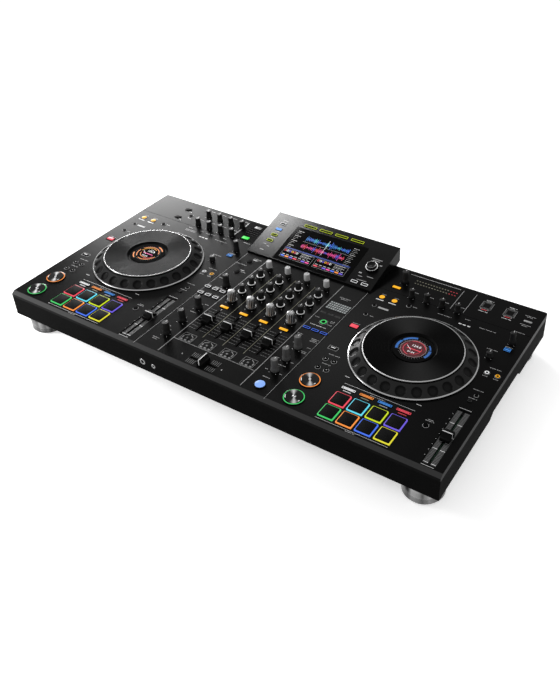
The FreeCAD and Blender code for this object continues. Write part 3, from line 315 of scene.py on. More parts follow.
SILVER = surface("silver_finish", grey(135), 0.28, metal=1.0, grain=900, depth=0.05)
FLUTED = surface("fluted_silver", grey(160), 0.3, level=0.5, metal=0.6, grain=900, depth=0.08)
CHROME = surface("bright_edge", grey(225), 0.16, metal=1.0, grain=600, depth=0.02)
GUNMETAL = surface("dark_metal", grey(44), 0.2, metal=1.0, grain=900, depth=0.05)
GOLD = surface("gold_contact", tone(212, 175, 95), 0.25, metal=1.0, grain=600, depth=0.03)
RING_WHITE = surface("knob_ring", grey(226), 0.4, level=0.3, mottle=0.02)
CAP_METAL = surface("cap_metal", grey(105), 0.35, metal=1.0, grain=900, depth=0.05)
# The dimpled side of a jog wheel in steps of painted shade, from the middle of a dimple out to the rim
# between two
JOG_SIDE_PAINTED_SHADES = [
    surface(f"jog_side_{step}", grey(shade), 0.32, level=0.02, grain=900, depth=0.01, mottle=0.003)
    for step, shade in enumerate((25, 20, 13, 11, 37))]
RING = surface("jog_ring", grey(150), 0.24, metal=1.0, grain=600, depth=0.002)
WELL = surface("dark_well", grey(6), 0.5, level=0.02, mottle=0.001)
SOLE = surface("foot_sole", grey(28), 0.7, level=0.2)
BOARD = surface("circuit_board", tone(22, 58, 38), 0.45, level=0.4)
INK_WHITE = surface("white_print", grey(205), 0.55, level=0.2, mottle=0.1)
INK_GREY = surface("grey_print", grey(140), 0.55, level=0.2, mottle=0.1)
INK_FAINT = surface("faint_print", grey(112), 0.5, level=0.1, mottle=0.02)
INK_DARK = surface("dark_print", grey(52), 0.5, level=0.05, mottle=0.02)
INK_SAND = surface("sand_print", tone(122, 120, 100), 0.55, level=0.2, mottle=0.05)
INK_RED = surface("red_print", tone(190, 44, 52), 0.5, level=0.2)
LINE_RED = surface("red_socket", tone(150, 24, 24), 0.4)
LINE_WHITE = surface("white_socket", grey(205), 0.4)
# Metal of the feet, with painted reflection streaks
PAINTED_STREAK_METAL = streaked("foot_metal", grey(30), grey(165), 0.26)

WHITE = lit("white_light", tone(236, 238, 240))
AMBER = lit("amber_light", tone(246, 170, 12))
ORANGE = lit("orange_light", tone(240, 140, 60))
YELLOW = lit("yellow_light", tone(212, 205, 48))
LIME = lit("lime_light", tone(190, 208, 30))
GREEN = lit("green_light", tone(60, 190, 96))
KEY_GREEN = lit("bright_green_light", tone(44, 225, 70))
CYAN = lit("cyan_light", tone(92, 208, 228))
BLUE = lit("blue_light", tone(66, 108, 226))
SKY = lit("sky_light", tone(58, 132, 214))
PALE_BLUE = lit("pale_blue_light", tone(126, 164, 232))
PURPLE = lit("purple_light", tone(104, 86, 208))
RED = lit("red_light", tone(226, 72, 88))
PINK = lit("pink_light", tone(232, 74, 150))
DEEP_RED = lit("deep_red_light", tone(70, 8, 18))
DEEP_BLUE = lit("deep_blue_light", tone(36, 84, 148))
NIGHT = lit("dark_blue_light", tone(24, 36, 84))
LCD = lit("lcd_light", tone(26, 28, 28))
LCD_TEXT = lit("lcd_text_light", tone(140, 145, 145))


# Parts in millimetres

def soften(part, edges, size, segments=2):
    bmesh.ops.bevel(part, geom=list(edges), offset=size, offset_type="OFFSET", segments=segments, profile=0.5,
                    affect="EDGES", material=-1)
    return part


def sharp_edges(part, least=40):
    return [edge for edge in part.edges if edge.is_manifold and edge.calc_face_angle() > math.radians(least)]


def slab(length, width, height, corner=0.0, edge=0.0):
    """A block that stands on zero, with rounded upright corners and softened top edges."""
    part = bmesh.new()
    bmesh.ops.create_cube(part, size=1)
    bmesh.ops.translate(part, vec=(0, 0, 0.5), verts=part.verts)
    bmesh.ops.scale(part, vec=(length, width, height), verts=part.verts)
    if corner:
        upright = [one for one in part.edges if abs(one.verts[0].co.z - one.verts[1].co.z) > height / 2]
        soften(part, upright, corner, 4)
    if edge:
        soften(part, [one for one in part.edges if min(v.co.z for v in one.verts) > height * 0.999], edge)
    return part


def lathe(profile, steps=48, closed=False, edge=0.0):
    """A turned part from points of radius and height, with its sharp rims softened."""
    part = bmesh.new()
    points = [part.verts.new((radius, 0, height)) for radius, height in profile]
    pairs = list(zip(points, points[1:]))
    if closed:
        pairs.append((points[-1], points[0]))
    lines = [part.edges.new(pair) for pair in pairs]
    bmesh.ops.spin(part, geom=points + lines, cent=(0, 0, 0), axis=(0, 0, 1), dvec=(0, 0, 0), angle=TURN,
                   steps=steps, use_merge=True, use_duplicate=False)
    bmesh.ops.remove_doubles(part, verts=part.verts, dist=0.0005)
    bmesh.ops.recalc_face_normals(part, faces=part.faces)
    if edge:
        soften(part, sharp_edges(part), edge)
    return part


def hoop(inner, outer, low, high, steps=48, edge=0.0):
    return lathe([(inner, low), (outer, low), (outer, high), (inner, high)], steps, closed=True, edge=edge)


def disc(radius, low, high, steps=32, edge=0.0):
    return lathe([(0, low), (radius, low), (radius, high), (0, high)], steps, edge=edge)


def rim(length, width, border, height, corner=0.8):
    """A rectangular frame that stands on zero."""
    part = bmesh.new()
    bmesh.ops.create_grid(part, x_segments=1, y_segments=1, size=0.5)
    bmesh.ops.scale(part, vec=(length, width, 1), verts=part.verts)
    bmesh.ops.bevel(part, geom=part.verts[:], offset=corner, offset_type="OFFSET", segments=3, profile=0.5,
                    affect="VERTICES", material=-1)
    inside = part.faces[:]
    bmesh.ops.inset_region(part, faces=inside, use_boundary=True, use_even_offset=True, thickness=border)
    bmesh.ops.delete(part, geom=inside, context="FACES")
    return thicken(part, height)


def arc(inner, outer, start, end, height, steps=12):
    """A flat piece of a ring between two angles in degrees."""
    part = bmesh.new()
    ends = [part.verts.new((radius, 0, 0)) for radius in (inner, outer)]
    across = part.edges.new(ends)
    bmesh.ops.rotate(part, verts=ends, matrix=Matrix.Rotation(math.radians(start), 3, "Z"))
    bmesh.ops.spin(part, geom=[*ends, across], cent=(0, 0, 0), axis=(0, 0, 1), dvec=(0, 0, 0),
                   angle=math.radians(end - start), steps=steps, use_duplicate=False)
    return thicken(part, height)


def thicken(part, height):
    """Gives a flat part a height."""
    made = bmesh.ops.extrude_face_region(part, geom=part.faces[:])
    up = [item for item in made["geom"] if isinstance(item, bmesh.types.BMVert)]
    bmesh.ops.translate(part, vec=(0, 0, height), verts=up)
    bmesh.ops.recalc_face_normals(part, faces=part.faces)
    return part


def cut(part, point, normal):
    """Adds the edges where a plane crosses a part."""
    bmesh.ops.bisect_plane(part, geom=part.verts[:] + part.edges[:] + part.faces[:], plane_co=point,
                           plane_no=normal)


def digits(text, size):
    """Plain numbers as a flat part, centred."""
    curve = bpy.data.curves.new("numbers", "FONT")
    curve.body = text
    curve.size = size
    curve.align_x = "CENTER"
    curve.align_y = "CENTER"
    carrier = bpy.data.objects.new("numbers", curve)
    mesh = bpy.data.meshes.new_from_object(carrier)
    part = bmesh.new()
    part.from_mesh(mesh)
    bpy.data.objects.remove(carrier)
    bpy.data.meshes.remove(mesh)
    return thicken(part, INK)


GROOVE_STEP = 0.5
GROOVE_DEPTHS = (0.06, 0.1, 0.14, 0.08, 0.12)


def turned_lines(outer, inner, top):
    """The profile of fine turned grooves, which spread a lamp's reflection into rays."""
    profile = []
    for step in range(int((outer - inner) / GROOVE_STEP)):
        depth = GROOVE_DEPTHS[step // 2 % 5] if step % 2 else 0
        profile.append((outer - GROOVE_STEP * step, top - depth))
    return profile


def ribbed(part, count, low, high, depth):
    """Draws in every other pair of upright lines of a turned part between two heights."""
    for vert in part.verts:
        line_number = round(math.atan2(vert.co.y, vert.co.x) / TURN * count * 4) % 4
        if line_number < 2 and low < vert.co.z < high:
            radius = math.hypot(vert.co.x, vert.co.y)
            if radius > depth * 2:
                vert.co.x *= 1 - depth / radius
                vert.co.y *= 1 - depth / radius
    return part


class Piece:
    """One object on one body, gathered from parts that each have a finish."""

    def __init__(self, name):
        self.name = name
        self.mesh = bmesh.new()
        self.finishes = []

    def add(self, part, finish, place=None):
        """Takes in a part with one finish, or with a function that gives a face its finish."""
        for face in part.faces:
            chosen = finish(face) if callable(finish) else finish
            if chosen not in self.finishes:
                self.finishes.append(chosen)
            face.material_index = self.finishes.index(chosen)
        if place is not None:
            bmesh.ops.transform(part, matrix=place, verts=part.verts)
        carrier = bpy.data.meshes.new("carrier")
        part.to_mesh(carrier)
        self.mesh.from_mesh(carrier)
        bpy.data.meshes.remove(carrier)
        part.free()
        return self

    def done(self, slot, body="console", replaced=(), sharp=38):
        bmesh.ops.scale(self.mesh, vec=(MM, MM, MM), verts=self.mesh.verts)
        data = bpy.data.meshes.new(self.name)
        self.mesh.to_mesh(data)
        self.mesh.free()
        for finish in self.finishes:
            data.materials.append(finish)
        data.shade_smooth()
        data.set_sharp_from_angle(angle=math.radians(sharp))
        made = bpy.data.objects.new(self.name, data)
        bpy.context.scene.collection.objects.link(made)
        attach(made, body)
        if replaced:
            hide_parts(*replaced)
        return made


def cad_part(node):
    """A merged copy of a CAD node's mesh, in millimetres."""
    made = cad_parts[node]
    part = bmesh.new()
    part.from_mesh(made.data)
    bmesh.ops.transform(part, matrix=made.matrix_world, verts=part.verts)
    bmesh.ops.scale(part, vec=(1 / MM, 1 / MM, 1 / MM), verts=part.verts)
    bmesh.ops.remove_doubles(part, verts=part.verts, dist=0.001)
    return part


# Print: plain bars, and short dashes in the place of words

print_deck = Piece("deck_print")
PRINT_WIDTH = 1.2
PRINT_DASHES = (2.6, 1.5, 3.4, 1.1, 2.0)
PRINT_GAPS = (0.6, 0.6, 0.6, 1.6)


def dashes(length, lengths, gaps, least):
    """The middle and the length of each dash in a row."""
    start = 0.0
    for step in range(int(length)):
        dash = min(lengths[step % len(lengths)], length - start)
        if dash < least:
            return
        yield start + dash / 2, dash
        start += dash + gaps[step % len(gaps)]


def line(x, from_front, length, width, finish=INK_WHITE, angle=0.0):
    print_deck.add(slab(length, width, INK), finish, on_deck(x, from_front, 0, angle))


def label(x, from_front, length, finish=INK_GREY):
    for middle, dash in dashes(length, PRINT_DASHES, PRINT_GAPS, 0.5):
        line(x - length / 2 + middle, from_front, dash, PRINT_WIDTH, finish)


def number(text, x, from_front, size):
    print_deck.add(digits(text, size), INK_WHITE, on_deck(x, from_front))


# CAD nodes that stay in view

for node, finish in {
    "lower_case": CASE,
    "screen_housing": HOUSING,
    "screen_glass": GLASS,
    "jog_hubs": WELL,
    "jog_displays": GLASS,
    "circuit_boards": BOARD,
    "power_switch": GLOSS,
}.items():
    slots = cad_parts[node].data.materials
    slots.clear()
    slots.append(finish)


# Knobs

POINTER_WIDTH = 0.9
STEM_RADIUS = 3.0
STEM_END = -6.5
SCALE_END = 140


def pointer(piece, place, radius, low, high, finish=INK_WHITE):
    """The line down the back of a grip and across its top."""
    piece.add(slab(POINTER_WIDTH, 0.35, high - low), finish, place @ at(0, radius, low))
    piece.add(slab(POINTER_WIDTH, radius * 0.75, 0.15), finish, place @ at(0, radius * 0.6, high))


def flutes(count, light, dark, top):
    """The finishes of a fluted grip: ridges, the flutes between them in a second finish that paints in the
    light and shade of the fluting, and its top.
    """
    def choose(face):
        middle = face.calc_center_median()
        if face.normal.z > 0.7:
            return top
        return dark if math.atan2(middle.y, middle.x) / TURN * count % 1 < 0.5 else light
    return choose


def scale_marks(x, from_front, radius, size=1.6):
    """The two end marks and the middle mark of a knob's scale."""
    for angle in (-SCALE_END, 0, SCALE_END):
        turned = math.radians(90 - angle)
        line(x + radius * math.cos(turned), from_front + radius * math.sin(turned), size, 0.5,
             INK_WHITE, 90 - angle)


def knob(node, skirt, skirt_steps, skirt_edge, skirt_finish, grip, ribs, grip_finish, mark, scale,
         ring=None, slot="knob_rubber"):
    """A turned skirt with a ribbed grip, a stem, a pointer and the scale printed round it.

    A grip's heights of zero or less run down from its top. Its ribs have a count, the height where they
    start, how far below the top they end, and a depth. The mark has a radius, the share of the height
    where it starts, how far below the top it ends, and a finish.
    """
    height = top_of(node)
    place = standing(node)
    piece = Piece(node + "_dressed")
    piece.add(lathe(skirt, skirt_steps, edge=skirt_edge), skirt_finish, place)
    if ring:
        *sizes_of_ring, ring_finish = ring
        piece.add(hoop(*sizes_of_ring, 48, 0.2), ring_finish, place)
    count, low, below, depth = ribs
    profile = [(radius, level if level > 0 else height + level) for radius, level in grip]
    part = lathe([*profile, (0, height)], count * 4)
    piece.add(ribbed(part, count, low, height - below, depth), grip_finish, place)
    piece.add(disc(STEM_RADIUS, STEM_END, 1.0, 24), GLOSS, place)
    mark_radius, share, mark_below, mark_finish = mark
    pointer(piece, place, mark_radius, height * share, height - mark_below, mark_finish)
    piece.done(slot, node, [node])
    scale_marks(centre_mm(node).x, from_front_of(node), scale)


def trim_knob(node):
    """A light grey grip on a black skirt."""
    knob(node, [(0, 0.6), (6.2, 0.6), (6.2, 1.6), (4.9, 7), (0, 7)], 40, 0.2, GRIP,
         [(4.9, 7), (5.8, 7), (5.8, 8), (5.4, -0.9), (4.8, 0)], (16, 7.6, 1.2, 0.2), CAP_GREY,
         (5.35, 0.6, 0.1, GLOSS), 10.0)


def tone_knob(node):
    """A grip on a skirt with a white ring between them."""
    knob(node, [(0, 0.6), (6.8, 0.6), (7.1, 1.2), (7.0, 3.0), (0, 3.0)], 40, 0.2, GLOSS,
         [(5.9, 3.9), (5.8, 5.5), (5.3, -0.8), (4.7, 0)], (16, 5, 1.2, 0.28), GRIP,
         (5.15, 0.55, 0.1, INK_WHITE), 10.0, ring=(5.8, 7.5, 3.0, 3.9, RING_WHITE))


def colour_knob(node):
    """A silver fluted grip, its flutes painted darker as painted shade, on a dark skirt with a thin bright
    rim.
    """
    knob(node, [(0, 0.6), (8.8, 0.6), (8.9, 3.4), (0, 4.4)], 48, 0.25, GRIP,
         [(7.9, 4.2), (7.7, 6), (7.4, -1.6), (6.6, -0.4), (5.6, 0)], (14, 5, 1, 0.8),
         flutes(14, FLUTED, GUNMETAL, CAP_METAL), (7.2, 0.6, 0, INK_WHITE), 12.0,
         ring=(8.4, 9.2, 3.2, 4.2, SILVER), slot="knob_silver")


def side_knob(node, finish):
    """A grip of one finish with its skirt."""
    knob(node, [(0, 0.6), (7.3, 0.6), (7.3, 2.4), (6.6, 7), (0, 7)], 40, 0.25, finish,
         [(6.5, 6.8), (6.2, 8.5), (5.9, -0.9), (5.2, 0)], (16, 8, 1.2, 0.35), finish,
         (5.85, 0.5, 0.1, INK_WHITE), 10.5)


for channel in (1, 2, 3, 4):
    trim_knob(f"trim_knob_{channel}")
    for band in ("high", "mid", "low"):
        tone_knob(f"eq_{band}_knob_{channel}")
    colour_knob(f"colour_knob_{channel}")
for node in ("fx_select_knob", "fx_time_knob", "fx_level_knob"):
    side_knob(node, GRIP_GREY)
for use in ("colour_depth", "parameter", "cue_mix", "phones_level", "master_level"):
    side_knob(f"{use}_knob", GRIP)


# Sliders

CAP_HEIGHT = 11.2
LOW_CAP_SEAT = -1.4
CAP_LEVELS = 7
CAP_CUTS = (-0.42, -0.3, -0.15, -0.06, 0.06, 0.15, 0.3, 0.42)
HOLLOW_DEPTH = 0.52
LEVER_END = -7
LEVER_OVERLAP = 0.5


def saddle(width, length, height):
    """A cap that falls away from a ridge across its middle."""
    part = slab(width, length, height, 1.2)
    for step in range(1, CAP_LEVELS):
        cut(part, (0, 0, height * step / CAP_LEVELS), (0, 0, 1))
    for share in CAP_CUTS:
        cut(part, (0, length * share, 0), (0, 1, 0))
    for vert in part.verts:
        run = abs(vert.co.y) / (length / 2)
        vert.co.z *= 1 - HOLLOW_DEPTH * min(1, max(0, (run - 0.1) / 0.35)) ** 1.4
    return soften(part, [one for one in sharp_edges(part, 35) if min(v.co.z for v in one.verts) > 1], 0.35)


def slider(node, angle=0):
    """A cap with a ridge across the middle, a white line over the ridge and a lever below."""
    low, high = box_mm(node)
    place = standing(node) @ Matrix.Rotation(math.radians(angle), 4, "Z")
    size = high - low
    width, length = (size.y, size.x) if angle else (size.x, size.y)
    height = high.z - PANEL
    seat = height - CAP_HEIGHT if height > 10 else LOW_CAP_SEAT
    piece = Piece(node + "_dressed")
    piece.add(saddle(width, length, height - seat), CAP_BLACK, raised(place, seat))
    piece.add(slab(width * 0.96, 1.5, 0.2), INK_WHITE, raised(place, height - 0.1))
    for end in (-1, 1):
        piece.add(slab(0.2, 1.5, height - seat - 1), INK_WHITE, place @ at(width / 2 * end, 0, seat + 1))
    piece.add(slab(2, 8, seat + LEVER_OVERLAP - LEVER_END), GUNMETAL, raised(place, LEVER_END))
    piece.done("fader_cap", node, [node])


FADER_MARK_STEP = 7.6
CROSS_MARK_STEP = 3.6

for channel, x in enumerate(CHANNELS, start=1):
    node = f"channel_fader_{channel}"
    slider(node)
    for row in range(-4, 5):
        for across in (-16.4, -11.6, -6.8, 6.8, 11.6, 16.4):
            line(x + across, from_front_of(node) + FADER_MARK_STEP * row, 3.7, 0.55, INK_FAINT)
slider("crossfader", 90)
for end in (-1, 1):
    for row in range(5):
        for shift in (8.5, -8.5):
            line(end * (13 + CROSS_MARK_STEP * row), from_front_of("crossfader") + shift, 0.7, 10,
                 INK_FAINT)
for side in SIDES:
    slider(f"tempo_slider_{side}")


# Play, cue and effect buttons

BUTTON_SEAT = -3.2
BUTTON_RING = 18.4
BUTTON_CAP = 15.4
BUTTON_STEPS = 72
# The angles in radians along which the painted reflection fans of turned faces are lightest
PAINTED_FAN_DIRECTION = {"left": 0.75, "right": -0.97}


def round_button(node, glow, mark):
    """A turned cap with painted reflection fans in its colour, in a dark ring with a line of light round it.
    """
    # The cap's colour runs from near black to light grey in painted reflection fans
    cap_finish = turned_face(node + "_cap", centre_mm(node), grey(10), grey(190), roughness=0.3, level=0.03,
                             sharpness=26.0, direction=PAINTED_FAN_DIRECTION["right"])
    top = top_of(node)
    floor_of_ring = top * 0.2
    place = standing(node)
    face = raised(place, top - 0.1)
    ring = [(0, BUTTON_SEAT), (BUTTON_RING, BUTTON_SEAT), (BUTTON_RING, top * 0.42),
            (BUTTON_CAP + 1.9, top * 0.5), (BUTTON_CAP + 1.9, floor_of_ring), (0, floor_of_ring)]
    cap = [(BUTTON_CAP, floor_of_ring), (BUTTON_CAP, top * 0.75), (BUTTON_CAP - 0.35, top - 0.2),
           (BUTTON_CAP - 0.6, top - 0.1), (0, top - 0.1)]
    piece = Piece(node + "_dressed")
    piece.add(lathe(ring, BUTTON_STEPS), GLOSS, place)
    glow_ring = hoop(BUTTON_CAP + 0.2, BUTTON_CAP + 1.7, floor_of_ring, top * 0.52, BUTTON_STEPS, 0.15)
    piece.add(glow_ring, glow, place)
    piece.add(lathe(cap, BUTTON_STEPS), cap_finish, place)
    for start, end in ((196, 224), (330, 344)):
        piece.add(arc(BUTTON_CAP - 2.2, BUTTON_CAP - 1.2, start, end, INK), WHITE, face)
    for part, shift in mark:
        piece.add(part, WHITE, face @ at(shift, 0, 0))
    piece.done("button_gloss", node, [node], sharp=20)


def play_mark():
    triangle = bmesh.new()
    bmesh.ops.create_circle(triangle, cap_ends=True, segments=3, radius=2.2)
    bmesh.ops.rotate(triangle, verts=triangle.verts, matrix=Matrix.Rotation(-TURN / 4, 3, "Z"))
    return [(thicken(triangle, INK), -1.5), (slab(0.7, 3.2, INK), 1.6), (slab(0.7, 3.2, INK), 3.0)]


def effect_button(node):
    """A domed lit cap on a dark collar."""
    collar_top = 2.2
    place = standing(node)
    piece = Piece(node + "_dressed")
    collar = [(0, BUTTON_SEAT), (9.6, BUTTON_SEAT), (9.6, 1.6), (8.8, collar_top), (0, collar_top)]
    cap = [(8.4, collar_top), (8.2, 3.0), (6.5, 3.8), (0, top_of(node))]
    piece.add(lathe(collar, 48), GLOSS, place)
    piece.add(lathe(cap, 48), PALE_BLUE, place)
    piece.done("key_plastic", node, [node])


for side in SIDES:
    round_button(f"play_button_{side}", GREEN, play_mark())
    round_button(f"cue_button_{side}", ORANGE, [(hoop(1.2, 1.9, 0, INK, 24), 0)])
effect_button("fx_on_button")


# Pads: soft blocks with a frame of light round each, in two rows from the front

PAD_LIGHTS = ((GREEN, ORANGE, BLUE, YELLOW), (RED, CYAN, LIME, PURPLE))
PAD_PITCH_X = 32.25
PAD_PITCH_Y = 32.0
PAD_WIDTH = 27.5
PAD_LENGTH = 28.5
PAD_BASE = 1.4
PAD_BORDER = 3.4

for side in SIDES:
    node = f"pads_{side}"
    low, high = box_mm(node)
    centre = (low + high) / 2
    rise = high.z - low.z - PAD_BASE
    piece = Piece(node + "_dressed")
    piece.add(slab(high.x - low.x, high.y - low.y, PAD_BASE), SOFT, at(centre.x, centre.y, low.z))
    for row, lights in enumerate(PAD_LIGHTS):
        for column, light in enumerate(lights):
            place = at(centre.x + PAD_PITCH_X * (column - 1.5), centre.y + PAD_PITCH_Y * (row - 0.5),
                       low.z + PAD_BASE)
            piece.add(slab(PAD_WIDTH, PAD_LENGTH, rise - 1.2, 2, 0.3), light, place)
            piece.add(slab(PAD_WIDTH - PAD_BORDER, PAD_LENGTH - PAD_BORDER, rise, 1.6, 0.5), SOFT, place)
    piece.done("pad_rubber", node, [node])


# Jog wheels

DIMPLES = 24
DIMPLE_RADIUS = 9.3
DIMPLE_DEPTH = 2.8
# Shares of a dimple's radius at which its painted shade steps from the lighter middle to the dark outline and
# the rim
DIMPLE_SHADE_SHARES = (0.55, 0.7, 0.82, 0.94)
DIMPLE_STEPS = 24
RIM_STEPS = 24
# Where the middle of a dimple lies on the slope, as a share of it from its foot
DIMPLE_MIDDLE = 0.47
FOOT_RING_WIDTH = 2.2
FOOT_RING_HEIGHT = 3


def jog_rim(side):
    """The sloped outer ring: a bright foot ring, dimples all round with painted shade in them, and a dark
    shoulder under the platter.
    """
    node = f"jog_rim_{side}"
    low, high = box_mm(node)
    place = standing(node)
    foot = low.z - PANEL
    top = high.z - PANEL
    shoulder = radius_mm(f"jog_platter_{side}") + 0.5
    edge = JOG_RADIUS - FOOT_RING_WIDTH
    start = foot + FOOT_RING_HEIGHT
    across = edge - shoulder - 3
    rise = top - start - 0.4
    slope = [(edge - across * step / RIM_STEPS, start + rise * step / RIM_STEPS)
             for step in range(RIM_STEPS + 1)]
    profile = slope + [(shoulder + 1, top), (shoulder, top - 0.6), (shoulder - 6, top - 4)]
    part = lathe(profile, DIMPLES * DIMPLE_STEPS)
    middle = Vector((edge - across * DIMPLE_MIDDLE, 0, start + rise * DIMPLE_MIDDLE))
    inward = Vector((-rise, 0, -across)).normalized()

    def turn_of(point):
        turned = round(math.atan2(point.y, point.x) / TURN * DIMPLES) * TURN / DIMPLES
        return Matrix.Rotation(turned, 3, "Z")

    def away_from_dimple(point):
        return (point - turn_of(point) @ middle).length / DIMPLE_RADIUS

    # Each face of the slope takes a step of painted shade by how far it lies from the middle of a dimple
    def dimple_finish(face):
        away = away_from_dimple(face.calc_center_median())
        return JOG_SIDE_PAINTED_SHADES[sum(away > share for share in DIMPLE_SHADE_SHARES)]

    for vert in part.verts:
        away = away_from_dimple(vert.co)
        if away < 1:
            vert.co += turn_of(vert.co) @ inward * DIMPLE_DEPTH * (1 - away ** 4)
    piece = Piece(node + "_dressed")
    piece.add(part, dimple_finish, place)
    foot_ring = [(edge - 8, foot), (JOG_RADIUS - 0.3, foot), (JOG_RADIUS, foot + 0.4), (JOG_RADIUS, foot + 2),
                 (JOG_RADIUS - 0.6, foot + 2.7), (edge + 0.4, foot + 3.1), (edge, foot + 2.9)]
    piece.add(lathe(foot_ring, 144), RING, place)
    piece.done("jog_side", f"jog_wheel_{side}", [node])


def platter(side):
    """The flat black platter, with fine turned grooves, painted reflection fans in the colour of its top and
    a bright edge.
    """
    node = f"jog_platter_{side}"
    place = standing(node)
    outer = radius_mm(node)
    top = top_of(node)
    well = DISPLAY_RADIUS + 6
    bore = DISPLAY_RADIUS - 1.1
    # The top's colour runs from black to dark grey in painted reflection fans, which turn with the wheel
    top_finish = turned_face(node + "_top", centre_mm(node), grey(7), grey(38), roughness=0.24, level=0.005,
                             sharpness=7.0, direction=PAINTED_FAN_DIRECTION[side])
    grooves = turned_lines(outer - 1.8, well, top - 0.1)
    piece = Piece(node + "_dressed")
    for profile, steps, finish in (
        ([*grooves, (well, top), (well - 0.4, top - 0.15)], 128, top_finish),
        ([(well - 0.4, top - 0.15), (well - 3.6, DISPLAY_TOP - 2.0), (bore, DISPLAY_TOP - 2.2)], 96, WELL),
        ([(outer - 1.8, top - 0.1), (outer - 1.6, top), (outer - 0.8, top), (outer, top - 0.8)], 128, RING),
        ([(outer, top - 0.8), (outer, top - 3.3), (outer - 5, top - 3.3)], 128, GLOSS),
        ([(bore, DISPLAY_TOP - 2.2), (bore, 2.6), (bore + 4, 2.6), (bore + 4, top - 8), (well + 6, top - 3.4),
          (outer - 5, top - 3.3)], 96, GLOSS),
    ):
        piece.add(lathe(profile, steps), finish, place)
    piece.done("jog_top", f"jog_wheel_{side}", [node], sharp=8)


for side in SIDES:
    jog_rim(side)
    platter(side)


# Displays in the jog wheels: a generic picture of a turning record with numbers

TICKS = 36
TICK_RADIUS = 24.6


def jog_display(side, base, arcs, bar_light, text):
    """Arcs are given by light, inner and outer radius, and start and end angle in degrees."""
    centre = JOGS[side]
    place = at(centre.x, centre.y, PANEL + DISPLAY_TOP)
    piece = Piece(f"jog_display_picture_{side}")
    piece.add(disc(22.5, 0, INK), base, place)
    for light, inner, outer, start, end in arcs:
        piece.add(arc(inner, outer, start, end, INK), light, raised(place, INK))
    for step in range(TICKS):
        tick = Matrix.Rotation(TURN * step / TICKS, 4, "Z") @ at(TICK_RADIUS, 0, 0)
        piece.add(slab(1.6, 0.35, INK), INK_GREY, place @ tick)
    piece.add(slab(24, 1.5, INK), bar_light, place @ at(1.5, -1.5, INK))
    piece.add(digits(text, 7.5), WHITE, place @ at(2, 7.5, INK))
    piece.add(digits("01:24", 5.5), WHITE, place @ at(0, -9.5, INK))
    hand = at(-8, 0, INK * 2) @ Matrix.Rotation(0.9, 4, "Z")
    piece.add(slab(0.6, 14, INK), WHITE, place @ hand)
    piece.done("screen_glass")


jog_display("left", GLASS, (
    (ORANGE, 21, 22.4, 20, 150), (ORANGE, 21, 22.4, 170, 230), (ORANGE, 21, 22.4, 250, 350),
    (AMBER, 17.5, 18.4, 60, 170), (ORANGE, 14, 15, 190, 300), (RED, 17.5, 18.6, 280, 340),
    (WHITE, 12.5, 13.1, 30, 100), (ORANGE, 27, 29, 40, 80), (ORANGE, 27, 29, 200, 240)), PINK, "126.0")
jog_display("right", DEEP_RED, (
    (DEEP_BLUE, 25.5, 30, 100, 150), (DEEP_BLUE, 25.5, 30, 160, 205), (DEEP_BLUE, 25.5, 30, 335, 375),
    (SKY, 27.2, 28, 100, 205), (DEEP_BLUE, 26.5, 29, 20, 45), (RED, 19.5, 20.2, 20, 120),
    (RED, 16.5, 17.2, 150, 260), (RED, 13.5, 14.1, 270, 380), (INK_GREY, 21.8, 22.4, 0, 360)), RED, "124.0")


# Keys

keys = Piece("keys_dressed")
KEY_RISE = 1.4
KEY_GAP = 0.2


def key(place, length, width, face=KEY_BLACK, glow=None, filled=False):
    """A flat key: a dark cap with a frame of light, or a cap lit all over."""
    if filled:
        keys.add(rim(length + 3, width + 2.6, 1.7, 0.5), KEY_BLACK, place)
        keys.add(slab(length - 0.6, width - 0.6, KEY_RISE, 0.8, 0.4), glow, place)
        return
    keys.add(slab(length - KEY_GAP, width - KEY_GAP, KEY_RISE - 0.25, 0.8, 0.3), face, place)
    if glow:
        keys.add(rim(length - 0.8, width - 0.8, 0.7, KEY_RISE, 0.6), glow, place)


def round_key(place, radius, glow=None, mark=INK_GREY):
    """A round dark key in a printed ring, with a ring of light if it has one."""
    keys.add(disc(radius - KEY_GAP, 0, KEY_RISE, 36, 0.3), KEY_BLACK, place)
    keys.add(hoop(radius, radius + 0.7, 0, 0.25, 36), mark, place)
    if glow:
        keys.add(hoop(radius * 0.55, radius * 0.85, 0, KEY_RISE + 0.06, 36), glow, place)


def dome_key(place, radius, glow):
    """A low lit dome in a dark ring."""
    keys.add(hoop(radius - 0.4, radius + 0.5, 0, 0.8, 36, 0.15), GLOSS, place)
    keys.add(lathe([(radius - 0.5, 0), (radius - 0.6, 0.9), (radius * 0.6, 1.35), (0, 1.5)], 36), glow, place)


def sign(place, length, width, finish, height=KEY_RISE - 0.2):
    """A bar printed or lit on the top of a key."""
    keys.add(slab(length, width, INK), finish, raised(place, height))


# The columns of small keys at both sides of a jog wheel, from its middle
LEFT_KEYS = -(JOG_RADIUS + 16.4)
RIGHT_KEYS = JOG_RADIUS + 19.2
# The four crossed keys at the lower left of a jog wheel
CROSS_KEYS = -JOG_RADIUS - 4.8
MODE_ROW = 88.5
MODE_KEYS = ((WHITE, INK_WHITE), (ORANGE, INK_SAND), (SKY, INK_GREY), (RED, INK_RED))
HALVES = (-0.5, 0.5)
# Labels of a deck by column: across from the column, behind the middle of the jog wheel, and length
DECK_LABELS = {
    "left": ((0, 131.5, 8), (25.4, 131.5, 8), (12, 62, 7), (0, 30, 15)),
    "cross": ((0, -64, 21), (0, -89.4, 16)),
    "jog": ((-58, 124, 9), (-3, 129, 26), (38, 138, 12), (78, 128, 30), (105, 82.5, 19), (129, 149, 16)),
    "right": ((0, 102.5, 13), (-7, 15.5, 9), (11, 15.5, 9), (2, 39, 20), (-2, -22, 17), (-2, -43.5, 15)),
}


